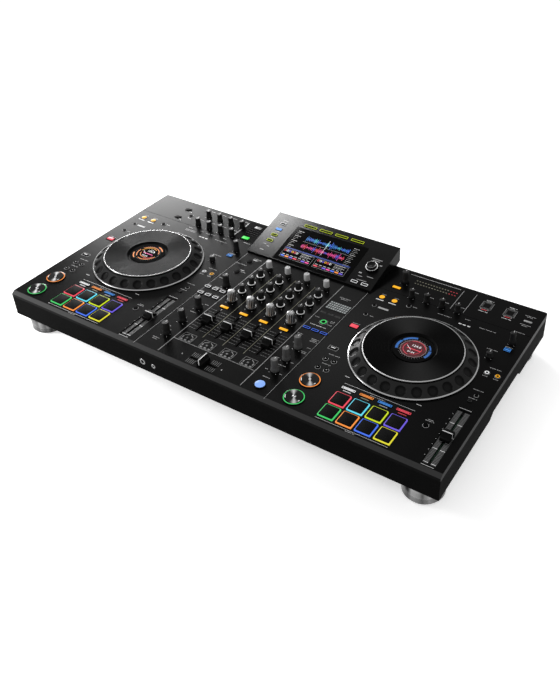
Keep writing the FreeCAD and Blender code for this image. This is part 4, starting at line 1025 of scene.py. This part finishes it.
def deck_keys(side):
    """The small keys of a deck with their labels."""
    jog_x = JOGS[side].x
    jog_y = JOGS[side].y - FRONT
    left_x = jog_x + LEFT_KEYS
    right_x = jog_x + RIGHT_KEYS
    cross_x = jog_x + CROSS_KEYS
    for shift in (0, 25.4):
        dome_key(on_deck(left_x + shift, jog_y + 122.7), 5.6, AMBER)
        line(left_x + shift, jog_y + 113.4, 15, 2.2)
    line(left_x + 19, jog_y + 92, 20, 4.4, INK_GREY)
    for x, behind, radius in (
        (left_x, 93, 3.2), (left_x, 62, 3.2), (jog_x - 70, 122.7, 4), (right_x, -35, 3.2),
    ):
        round_key(on_deck(x, jog_y + behind), radius)
    round_key(on_deck(jog_x + 88, 79.6), 4.4)
    key(on_deck(left_x, jog_y + 21.5), 15, 9, glow=RED, filled=True)
    place = on_deck(left_x, jog_y - 48.2)
    key(place, 11, 6)
    sign(place, 8, 2.2, INK_WHITE, KEY_RISE - 0.25)
    keys.add(rim(18, 9.5, 0.6, INK), INK_GREY, place)
    for column in HALVES:
        for row in HALVES:
            place = on_deck(cross_x + 16.1 * column, jog_y - 90.5 + 24 * row)
            round_key(place, 4.2)
            sign(place, 2.2, 0.6, INK_WHITE, KEY_RISE)
            sign(place @ at(0.9 * column * 2, 0, 0), 0.6, 2.0, INK_WHITE, KEY_RISE)
    place = on_deck(right_x, jog_y + 94)
    key(place, 12, 9, glow=SKY)
    sign(place, 8, 2.6, SKY)
    for column, light in zip(HALVES, (WHITE, AMBER)):
        round_key(on_deck(right_x + 2 + 18 * column, jog_y + 23.7), 4.2, light)
    key(on_deck(right_x - 4, jog_y - 51.5), 7, 5, glow=INK_DARK)
    columns = {"left": left_x, "cross": cross_x, "jog": jog_x, "right": right_x}
    for column, labels in DECK_LABELS.items():
        for across, behind, length in labels:
            label(columns[column] + across, jog_y + behind, length)
    for from_front, length in ((90.5, 15), (93.5, 9)):
        label(jog_x + 90, from_front, length)
    for pill in (30, 37.5, 46):
        line(jog_x + pill, jog_y + 121.5, 5.4, 2.6)
    for across in (-67, 60):
        label(jog_x + across, jog_y - 98.5, 8, INK_WHITE)


def pad_keys(side):
    """The row of mode keys behind the pads, and the lines and labels round them."""
    pads_x = centre_mm(f"pads_{side}").x
    for column, (light, print_finish) in enumerate(MODE_KEYS):
        x = pads_x + PAD_PITCH_X * (column - 1.5)
        key(on_deck(x, MODE_ROW), 24.5, 5.2, glow=light)
        sign(on_deck(x, MODE_ROW), 18, 1.3, light)
        line(x, MODE_ROW - 5.5, 14, 1.6, print_finish)
    for from_front in (99, 11.3):
        line(pads_x, from_front, 124, 0.5)
    label(pads_x, 94.6, 26)
    label(pads_x, 8.6, 16)


for side in SIDES:
    deck_keys(side)
    pad_keys(side)

# A channel's cue key, and its assign switch with a printed field
CUE_FROM_FRONT = 163.7
for channel, x in enumerate(CHANNELS, start=1):
    key(on_deck(x, CUE_FROM_FRONT), 17, 6, glow=AMBER, filled=True)
    number(str(channel), x, CUE_FROM_FRONT - 9, 5.5)
    keys.add(rim(26, 21, 0.6, 0.35, 2.2), INK_FAINT, on_deck(x, 62))
    keys.add(slab(12, 5, 0.3, 1), WELL, on_deck(x, 60))
    keys.add(slab(3.6, 3.6, KEY_RISE, 0.6, 0.3), GRIP_GREY, on_deck(x, 60))
    for shift in (-8.5, 0, 8.5):
        line(x + shift, 54.6, 4.4, 3, INK_FAINT)
    for end in (-1, 1):
        keys.add(slab(9, 0.8, INK), INK_GREY, on_deck(x + 5.5 * end, 67.5, 0, -32 * end))
        line(x + 9.5 * end, 61, 2.2, 5, INK_FAINT)

# The columns of keys at both sides of the channels: monitor keys at the left, effect keys at the right
EFFECT_X = centre_mm("fx_level_knob").x
MONITOR_X = -(MIXER_HALF - 23.2)
for column in (-1, 0, 1):
    for row in HALVES:
        x = MONITOR_X + 17.2 * column
        key(on_deck(x, 189.2 + 21.6 * row), 12, 6.5, glow=WHITE)
        label(x, 189.2 + 21.6 * row + 6, 9)
    key(on_deck(EFFECT_X + 17.2 * column, 189), 14, 6, glow=BLUE)
label(EFFECT_X - 3, 203, 32, INK_WHITE)
round_key(on_deck(EFFECT_X, 216.5), 7, GREEN)
for across, from_front, length in (
    (14, 225, 9), (14, 221.5, 7), (14, 214, 8), (-18, 225, 9), (-3, 296.5, 22), (-3, 292.5, 14),
    (14, 168, 15), (14, 164.5, 12), (14, 161, 14), (-17, 170, 12), (-17, 166.5, 9), (-17, 163, 11),
    (15, 131, 12), (16, 127.5, 8), (2, 83.5, 18), (-2, 47, 15), (-13, 144, 5), (17, 143, 7), (-17, 131, 6),
    (-14, 97, 5), (14, 97, 5), (-14, 64, 5), (14, 64, 5),
):
    label(EFFECT_X + across, from_front, length)
for across in (-16.5, -1, 13):
    line(EFFECT_X + across, 242, 11, 4, INK_DARK)
    label(EFFECT_X + across, 242, 9)
for from_front, across, length in (
    (322, 10, 17), (318.5, 8, 11), (294, -10, 26), (272, 12, 12), (236, -14, 9), (222, 14, 6), (207.5, 2, 16),
    (157, -8, 10), (153, 18, 8), (124, 10, 13), (112, -12, 8), (96, 16, 7), (72, -4, 14), (53, 16, 6),
    (35, 2, 14), (31, 2, 10),
):
    label(MONITOR_X + across, from_front, length)
for from_front in (267, 307.5):
    round_key(on_deck(MONITOR_X, from_front), 6, mark=INK_DARK)
    line(MONITOR_X + 6, from_front + 10, 9, 0.9)

# Keys of the back strip
INPUT_KEYS_X = -MIXER_HALF - 36.9
key(on_deck(MIXER_HALF + 36, 375.4), 16, 6.5, glow=AMBER, filled=True)
key(on_deck(INPUT_KEYS_X, 376.4), 16, 9, glow=KEY_GREEN, filled=True)
key(on_deck(INPUT_KEYS_X, 421), 16, 8, face=GRIP_GREY)
key(on_deck(HALF_WIDTH - 21.2, 397.7), 15, 4, face=CAP_GREY)
for row in HALVES:
    key(on_deck(87.2 - HALF_WIDTH, 391.4 + 35.2 * row), 14, 9)
    line(96.5 - HALF_WIDTH, 391.4 + 35.2 * row - 6, 7, 1.4)
round_key(on_deck(108.5 - HALF_WIDTH, 391.4), 4)
label(112 - HALF_WIDTH, 382, 8, INK_WHITE)

# Keys on the slope: four above the screen, four at its left and two at its lower right
SLOPE_LEFT_X = HOUSING_LOW.x + 27.1
SLOPE_RIGHT_X = HOUSING_HIGH.x - 28.1
for column in (-1.5, -0.5, 0.5, 1.5):
    key(on_slope(36.2 * column, 105), 29, 6.5, glow=LIME)
for row, light in enumerate((LIME, LIME, SKY, WHITE)):
    key(on_slope(SLOPE_LEFT_X, 41.4 + 16.8 * row), 14, 6.5, glow=light)
keys.add(slab(11.5, 4.2, INK), SKY, on_slope(SLOPE_LEFT_X, 41.4 + 33.6, KEY_RISE - 0.2))
for column in HALVES:
    key(on_slope(SLOPE_RIGHT_X + 21.5 * column, 9), 14, 6.5, glow=WHITE)
keys.done("key_plastic", "console", ["key_caps"])

# Bars printed on the slope: across from the housing's edge, along the slope, length and width
SLOPE_BARS = {
    HOUSING_HIGH.x: (
        (-26, 76, 22, 1.6), (-26, 72, 15, 1.6), (-38, 62, 5, 3), (-12, 64, 5, 3), (-40, 34, 6, 3),
        (-17, 30, 13, 1.4), (-36, 26, 9, 1.2), (-28, 17, 20, 1.2)),
    HOUSING_LOW.x: (
        (22, 30, 7, 1.4), (32, 26, 6, 1.4), (25, 14, 9, 1.2), (27, 52, 9, 1.0), (27, 69, 9, 1.0),
        (27, 102, 12, 1.0)),
}
for edge, bars in SLOPE_BARS.items():
    for across, along, length, width in bars:
        print_deck.add(slab(length, width, INK), INK_GREY, on_slope(edge + across, along))


# Small knobs of the back strip and the decks

small = Piece("small_knobs_dressed")
# The eight input knobs at the left and the four at the right of the back strip
INPUT_X = -MIXER_HALF - 112.3
INPUT_PITCH = 29.5
OUTPUT_X = MIXER_HALF + 118.3
OUTPUT_PITCH = 30


def small_knob(x, from_front, height):
    place = on_deck(x, from_front)
    waist = height * 0.32
    skirt = lathe([(0, 0), (6, 0), (6, 1.2), (5.7, waist), (0, height * 0.34)], 36, edge=0.2)
    small.add(skirt, GRIP, place)
    grip = lathe([(5.4, waist), (5.2, height * 0.4), (4.9, height - 0.7), (4.3, height), (0, height)], 48)
    small.add(ribbed(grip, 12, height * 0.36, height - 0.9, 0.3), GRIP, place)
    pointer(small, place, 4.85, height * 0.45, height - 0.1)
    scale_marks(x, from_front, 8.2, 1.3)


for column in (-1.5, -0.5, 0.5, 1.5):
    for row in HALVES:
        small_knob(INPUT_PITCH * column + INPUT_X, PANEL_LENGTH - 51 + 36 * row, 16)
    small_knob(OUTPUT_X + OUTPUT_PITCH * column, PANEL_LENGTH - 76, 16)
for side in SIDES:
    small_knob(JOGS[side].x + RIGHT_KEYS, JOGS[side].y - FRONT + 116.5, 22.4)
    small_knob(JOGS[side].x + 107.4, JOGS[side].y - FRONT + 64.3, 9.6)
small.done("knob_rubber", "console", ["strip_knobs"])


# Selector on the housing

def selector(node):
    """A fluted grip with a hollow top, its flutes painted in a lighter metal as painted highlights, on a
    collar with a bright ring.
    """
    place = on_slope(HOUSING_HIGH.x - 24.6, 52)
    collar = lathe([(0, 0.6), (12, 0.6), (12, 4.2), (11.2, 5.2), (10.2, 5.4), (0, 5.4)], 64, edge=0.2)
    grip = lathe([(9.8, 5.4), (9.6, 7), (9.3, 10.2), (8.8, 10.9), (8.2, 11)], 56)
    piece = Piece(node + "_dressed")
    piece.add(collar, GLOSS, place)
    piece.add(hoop(10.0, 11.9, 5.0, 6.1, 64, 0.2), CHROME, place)
    piece.add(ribbed(grip, 14, 6, 10.4, 0.5), flutes(14, GLOSS, GUNMETAL, SILVER), place)
    piece.add(lathe([(8.2, 11), (7.6, 10.6), (0, 10.3)], 56), GLOSS, place)
    piece.done("knob_silver", node, [node])


selector("browse_dial")


# The picture on the screen: generic wave shapes, bars and dashes

picture = Piece("screen_picture")
GLASS_LOW, GLASS_HIGH = box_mm("screen_glass")
SCREEN_MIDDLE = (GLASS_LOW.x + GLASS_HIGH.x) / 2
SCREEN_WIDTH = 152.0
SCREEN_FRONT = 8.0
SCREEN_LENGTH = 82.0
SCREEN_LIFT = 0.6
GLASS_LENGTH = 88.0


def show(part, finish, across, up, layer=1):
    """Puts a part on the screen, across and up as shares of the picture."""
    x = SCREEN_MIDDLE + (across - 0.5) * SCREEN_WIDTH
    along = SCREEN_FRONT + up * SCREEN_LENGTH
    picture.add(part, finish, on_slope(x, along, SCREEN_LIFT + layer * INK * 0.5))


WAVE_BARS = 104


def wave(middle, lights, seed):
    """Upright bars whose lengths follow beats and a sum of sines."""
    for step in range(WAVE_BARS):
        share = step / (WAVE_BARS - 1)
        swell = 0.35 + 0.65 * abs(math.sin(share * 7.3 + seed))
        flicker = abs(math.sin(step * 2.4 + seed * 5) * math.sin(step * 0.9 + seed))
        beat = 1.0 if step % 10 < 2 else 0.55
        height = 0.8 + 24 * swell * beat * (0.12 + 0.88 * flicker)
        light = lights[(step // 7 + int(share * 3)) % len(lights)]
        show(slab(0.45, height, INK), light, 0.2 + 0.64 * share, middle, 2)


def text_row(across, up, length, finish):
    """Short dashes in the place of a row of text."""
    for middle, dash in dashes(length, (2.2, 1.2, 3.0, 1.6), (0.6,), 0.4):
        show(slab(dash, 0.8, INK), finish, across + middle / SCREEN_WIDTH, up, 2)


show(slab(SCREEN_WIDTH, SCREEN_LENGTH, INK), GLASS, 0.5, 0.5, 0)
wave(0.8, (SKY, BLUE, SKY, CYAN, BLUE), 0.4)
wave(0.54, (PINK, RED, PINK, PINK, PURPLE), 1.9)
show(slab(0.5, 42, INK), WHITE, 0.52, 0.68, 3)
show(slab(104, 0.4, INK), INK_GREY, 0.52, 0.68, 2)
for row in range(11):
    text_row(0.02, 0.96 - 0.055 * row, 13 - 4 * (row % 3), INK_GREY if row % 3 else INK_WHITE)
    text_row(0.87, 0.94 - 0.055 * row, 12 - 3 * (row % 2), INK_GREY if row % 4 else INK_WHITE)
show(slab(SCREEN_WIDTH - 4, 3.4, INK), NIGHT, 0.5, 0.355, 2)
for step in range(60):
    show(slab(0.5, 1.0 + 1.8 * abs(math.sin(step * 1.7)), INK), BLUE, 0.03 + 0.94 * step / 59, 0.355, 3)
for column in (0.25, 0.75):
    show(rim(70, 23, 0.4, INK), INK_GREY, column, 0.175, 2)
    for cell in range(6):
        light = (RED, WHITE, PURPLE, AMBER)[cell % 4]
        show(hoop(1.5, 2.3, 0, INK, 16), light, column - 0.2 + 0.035 * cell, 0.27, 2)
    for cell in range(7):
        light = (PURPLE, BLUE, PURPLE, RED, ORANGE, PINK, DEEP_RED)[(cell * 3 + int(column * 4)) % 7]
        show(slab(8, 3.0, INK), light, column - 0.19 + 0.062 * cell, 0.09, 2)
        show(slab(6, 1.0, INK), INK_WHITE, column - 0.19 + 0.062 * cell, 0.145, 2)
    for row in range(4):
        text_row(column + 0.04, 0.3 - 0.035 * row, 24 - 5 * (row % 2), INK_GREY if row % 2 else INK_WHITE)
picture.done("screen_glass")
print_deck.add(slab(0.8, GLASS_LENGTH, 0.3), CHROME, on_slope(GLASS_HIGH.x - 4, GLASS_LENGTH / 2 + 3))


# Top panel, with its front bevel painted lighter: partly its own chamfer finish, partly a painted highlight

def panel_finish(face):
    at_front = face.calc_center_median().y < FRONT + 8
    return BEVEL_AND_PAINTED_HIGHLIGHT if at_front and face.normal.y < -0.3 and face.normal.z > 0.3 else DECK


Piece("top_panel_dressed").add(cad_part("top_panel"), panel_finish).done(
    "deck_panel", "console", ["top_panel"], sharp=4)


# Feet, with a sole, their metal streaked with painted reflections

SOLE_TOP = box_mm("feet")[0].z + 2.5
feet = cad_part("feet")
cut(feet, (0, 0, SOLE_TOP), (0, 0, 1))


def foot_finish(face):
    return SOLE if face.calc_center_median().z < SOLE_TOP else PAINTED_STREAK_METAL


Piece("feet_dressed").add(feet, foot_finish).done("foot_silver", "console", ["feet"])


# Sockets: two in the front wall, two in the panel, the others in the rear wall

MEMORY_X = (338.95, 382.45)
MEMORY_Y = PANEL_BACK - 44
BACK = box_mm("lower_case")[1].y
SOCKET_Z = box_mm("lower_case")[0].z + 20
LINE_X = (-124.0, -62.0, 0.0, 62.0, 124.0)
LINE_RISE = 9
BALANCED_X = (-300.0, -266.0)
PIN_RADIUS = 4.2
JACK_X = (-224.0, -200.0, 300.0, 328.0)
MAINS_X = -395.0
COMPUTER_X = 395.0
NETWORK_X = 369.0
CONTACT_STEP = 1.2


def in_back_wall(x, depth, z):
    """A place inside the back wall, turned so that its height runs out of the wall."""
    return at(x, BACK - depth, z) @ Matrix.Rotation(-TURN / 4, 4, "X")


def panel_socket_finish(face):
    """The rims of the sockets are bright, at the front wall and on the panel."""
    middle = face.calc_center_median()
    if middle.y < FRONT + 0.5 or (face.normal.z > 0.9 and middle.z > PANEL - 0.5):
        return SILVER
    return GLOSS


def rear_socket_finish(face):
    """Line sockets have white and red mouths in silver barrels; the other round ones have bright rims."""
    middle = face.calc_center_median()
    rimmed = face.normal.y > 0.9 and middle.y > BACK
    for x in LINE_X:
        for rise, mouth in ((LINE_RISE, LINE_WHITE), (-LINE_RISE, LINE_RED)):
            if math.hypot(middle.x - x, middle.z - SOCKET_Z - rise) < 4.3:
                return mouth if rimmed else SILVER
    if rimmed and min(abs(middle.x - x) for x in BALANCED_X + JACK_X) < 12.1:
        return SILVER
    return GLOSS


sockets = Piece("panel_sockets_dressed")
sockets.add(cad_part("panel_sockets"), panel_socket_finish)
for x in MEMORY_X:
    sockets.add(slab(11, 1.8, 9), GLOSS, at(x, MEMORY_Y + 1, PANEL - 10))
sockets.done("socket_black", "console", ["panel_sockets"])

rear = Piece("rear_sockets_dressed")
rear.add(cad_part("rear_sockets"), rear_socket_finish)
for x in BALANCED_X:
    for turned in (90, 210, 330):
        pin_x = x + PIN_RADIUS * math.cos(math.radians(turned))
        pin_z = SOCKET_Z + PIN_RADIUS * math.sin(math.radians(turned))
        rear.add(disc(1.1, 0, 12, 16, 0.2), GOLD, in_back_wall(pin_x, 17, pin_z))
for across, rise in ((-7, -2), (7, -2), (0, 3)):
    rear.add(slab(2, 4, 11, 0, 0.3), SILVER, in_back_wall(MAINS_X + across, 14, SOCKET_Z + rise))
for step in range(8):
    contact = in_back_wall(NETWORK_X - 4.2 + CONTACT_STEP * step, 11, SOCKET_Z + 3.4)
    rear.add(slab(0.5, 0.5, 8), GOLD, contact)
rear.add(slab(5.4, 3.2, 8, 0, 0.3), LINE_WHITE, in_back_wall(COMPUTER_X, 10, SOCKET_Z))
rear.done("socket_black", "console", ["rear_sockets"])


# Printed lines of the mixer, and the letters at the ends of the crossfader

for end in (-1, 1):
    line(86 * end, 170, 0.9, 320, INK_GREY)
    line((MIXER_HALF - 1.2) * end, 168, 0.5, 330, INK_GREY)
for x in (-43, 0, 43):
    line(x, 187.5, 0.7, 225, INK_SAND)
line(0, 50, 172, 0.6, INK_GREY)
number("A", -45, 24, 4)
number("B", 38, 24, 4)

# The small display of the effect column
display_place = on_deck(EFFECT_X, 267)
print_deck.add(slab(45, 26, 0.3, 1), KEY_BLACK, display_place)
print_deck.add(slab(43, 24, 0.4), LCD, display_place)
for row in range(4):
    for column in range(9):
        print_deck.add(slab(3.2 - 0.8 * (column * 7 % 3 == 1), 3.4, INK), LCD_TEXT,
                       display_place @ at(-18.6 + 4.65 * column, -8.7 + 5.8 * row, 0.36))

# The level meter, the memory sockets and the input keys of the back strip, with their labels
for column in range(15):
    for row in (0, 1):
        line(197 + 5.7 * column, 405.5 + 9 * row, 2.8, 1.6, INK_RED if column > 11 else INK_SAND)
line(228, 428.6, 102, 0.6)
label(228, 428.6, 20, INK_WHITE)
for x in (285.5, 310.5):
    line(x, 397, 0.8, 63, INK_GREY)
for x in MEMORY_X:
    print_deck.add(rim(20, 21, 3.7, INK), INK_DARK, on_deck(x, 406.5))
    print_deck.add(rim(20.6, 21.6, 0.4, INK * 1.2), INK_GREY, on_deck(x, 406.5))
    line(x, 392.5, 10, 1.5, INK_RED)
    label(x, 387, 17, INK_WHITE)
    label(x, 422.5, 14, INK_WHITE)
    label(x, 419.2, 9)
for from_front, length in ((414.5, 19), (411, 12), (387, 19), (383.5, 11)):
    label(HALF_WIDTH - 22, from_front, length)
print_deck.add(slab(54, 70, INK), KEY_BLACK, on_deck(-175, 400.5))
for x, from_front, length, width in ((-203, 397, 0.7, 62), (-147, 397, 0.7, 62), (-175, 366, 56, 0.7)):
    line(x, from_front, length, width)
for row in range(4):
    label(-174, 410 - 6.6 * row, 30 - 6 * (row % 2))
for column in range(4):
    for from_front in (428, 389, 352):
        label(INPUT_PITCH * (column - 1.5) + INPUT_X - 4, from_front, 8 if column % 2 else 11)
    label(OUTPUT_X + OUTPUT_PITCH * (column - 1.5) + 3, 378, 8)
label(-292, 345, 26)


# Slider plates with fine ridges

RIDGES = 44
RIDGE_STEP = 2.72

for side in SIDES:
    node = f"tempo_slider_{side}"
    x = centre_mm(node).x
    plate = Piece(f"slider_plate_{side}")
    for half in (-1, 1):
        place = at(x + 6.2 * half, centre_mm(node).y, PANEL - 2)
        plate.add(slab(8.2, 122, 0.25), GUNMETAL, place)
        for step in range(RIDGES):
            ridge = place @ at(0, -58.5 + RIDGE_STEP * step, 0.25)
            plate.add(slab(7.6, 1.1, 0.2), PLATE_GREY if step % 11 else INK_WHITE, ridge)
    plate.done("inner_parts")
    for end in (-1, 1):
        line(x, from_front_of(node) + 66 * end, 20, 0.6)
    for step in range(-4, 5):
        line(x - 12.5, from_front_of(node) + 12 * step, 1.4, 0.5)

print_deck.done("deck_panel")


# Stage, light and camera

FLOOR_SIZE = 14
PAPER = (0.8, 0.8, 0.8, 1)
PAPER_LIGHT = (0.82, 0.82, 0.82, 1)
PAPER_GLOW = (0.5, 0.5, 0.5, 1)
BLACK = (0, 0, 0, 1)
DAYLIGHT = 0.7


def floor():
    """Pale paper that is as white as the background where the camera sees it."""
    made = bmesh.new()
    bmesh.ops.create_grid(made, x_segments=1, y_segments=1, size=FLOOR_SIZE)
    data = bpy.data.meshes.new("floor")
    made.to_mesh(data)
    made.free()
    ground = bpy.data.objects.new("floor", data)
    bpy.context.scene.collection.objects.link(ground)
    finish = Finish("floor_paper", Roughness=0.9, Specular_IOR_Level=0.0, Emission_Strength=1.0)
    camera_ray, glossy_ray, clear_ray = finish.rays()
    seen = camera_ray + glossy_ray + clear_ray
    finish.shade("Base Color", finish.blend(finish.noise(3.0), PAPER, PAPER_LIGHT))
    finish.shade("Emission Color", finish.blend(seen, BLACK, PAPER_GLOW))
    data.materials.append(finish.material)


def surroundings(strength):
    """White to the camera and in reflections, softer as light on the object."""
    world = bpy.data.worlds.new("studio")
    bpy.context.scene.world = world
    world.use_nodes = True
    tree = Tree(world.node_tree)
    camera_ray, glossy_ray, clear_ray = tree.rays()
    seen = camera_ray.math("MAXIMUM", glossy_ray).math("MAXIMUM", clear_ray)
    level = tree.node("ShaderNodeMapRange", {}, {"Value": seen, "To Min": strength, "To Max": 1.0}, "Result")
    background = tree.nodes["Background"]
    tree.feed(background.inputs["Color"], (1, 1, 1, 1))
    tree.feed(background.inputs["Strength"], level)


def lamp(name, kind, place, target, power, **settings):
    data = bpy.data.lights.new(name, kind)
    data.energy = power
    for setting, value in settings.items():
        setattr(data, setting, value)
    made = bpy.data.objects.new(name, data)
    made.location = place
    made.rotation_mode = "QUATERNION"
    made.rotation_quaternion = (Vector(target) - Vector(place)).to_track_quat("-Z", "Y")
    bpy.context.scene.collection.objects.link(made)
    return made


PICTURE_SIZE = (560, 700)
FOCAL_PIXELS = 803.63
CENTRE_PIXELS = (322.55, 284.04)
CAMERA_AZIMUTH = 32.766
CAMERA_ELEVATION = 34.555
CAMERA_ROLL = -1.332
CAMERA_FROM_MIDDLE = 718.45
CAMERA_FROM_FRONT = -724.42
CAMERA_OVER_PANEL = 851.85


def camera():
    data = bpy.data.cameras.new("camera")
    long_side = max(PICTURE_SIZE)
    data.sensor_width = 36
    data.lens = FOCAL_PIXELS / long_side * data.sensor_width
    data.shift_x = (PICTURE_SIZE[0] / 2 - CENTRE_PIXELS[0]) / long_side
    data.shift_y = (CENTRE_PIXELS[1] - PICTURE_SIZE[1] / 2) / long_side
    data.clip_start = 0.05
    data.clip_end = 100
    made = bpy.data.objects.new("camera", data)
    around = math.radians(CAMERA_AZIMUTH)
    above = math.radians(CAMERA_ELEVATION)
    back = Vector((math.sin(around) * math.cos(above), -math.cos(around) * math.cos(above), math.sin(above)))
    roll = Quaternion((0, 0, 1), math.radians(CAMERA_ROLL))
    made.rotation_mode = "QUATERNION"
    made.rotation_quaternion = (-back).to_track_quat("-Z", "Y") @ roll
    made.location = on_deck(CAMERA_FROM_MIDDLE, CAMERA_FROM_FRONT, CAMERA_OVER_PANEL).translation * MM
    bpy.context.scene.collection.objects.link(made)
    bpy.context.scene.camera = made


floor()
surroundings(DAYLIGHT)
# Lamps by name, place and target in metres, size of a panel or cone of a spotlight, and power
for name, place, target, size, power in (
    ("corner_light", (-1.2, 0.9, 0.4), (-0.43, 0.21, 0.083), 0.5, 30),
    ("left_light", (-1.7, -0.9, 1.3), (0, 0, 0.08), 0.6, 12),
    ("back_light", (-0.75, 1.4, 1.5), (0, 0, 0.08), 0.4, 4),
):
    lamp(name, "AREA", place, target, power, shape="RECTANGLE", size=size, size_y=size)
for name, place, target, cone, power in (
    ("housing_light", (-0.49, 0.49, 0.573), (-0.175, 0.25, 0.115), 24, 46),
    ("wall_light", (-0.95, -0.62, 0.3), (-0.36, -0.227, 0.06), 36, 30),
):
    made = lamp(name, "SPOT", place, target, power, shadow_soft_size=0.1, spot_size=math.radians(cone),
                spot_blend=1.0)
    made.visible_camera = False
camera()

bpy.context.scene.view_settings.view_transform = "Standard"
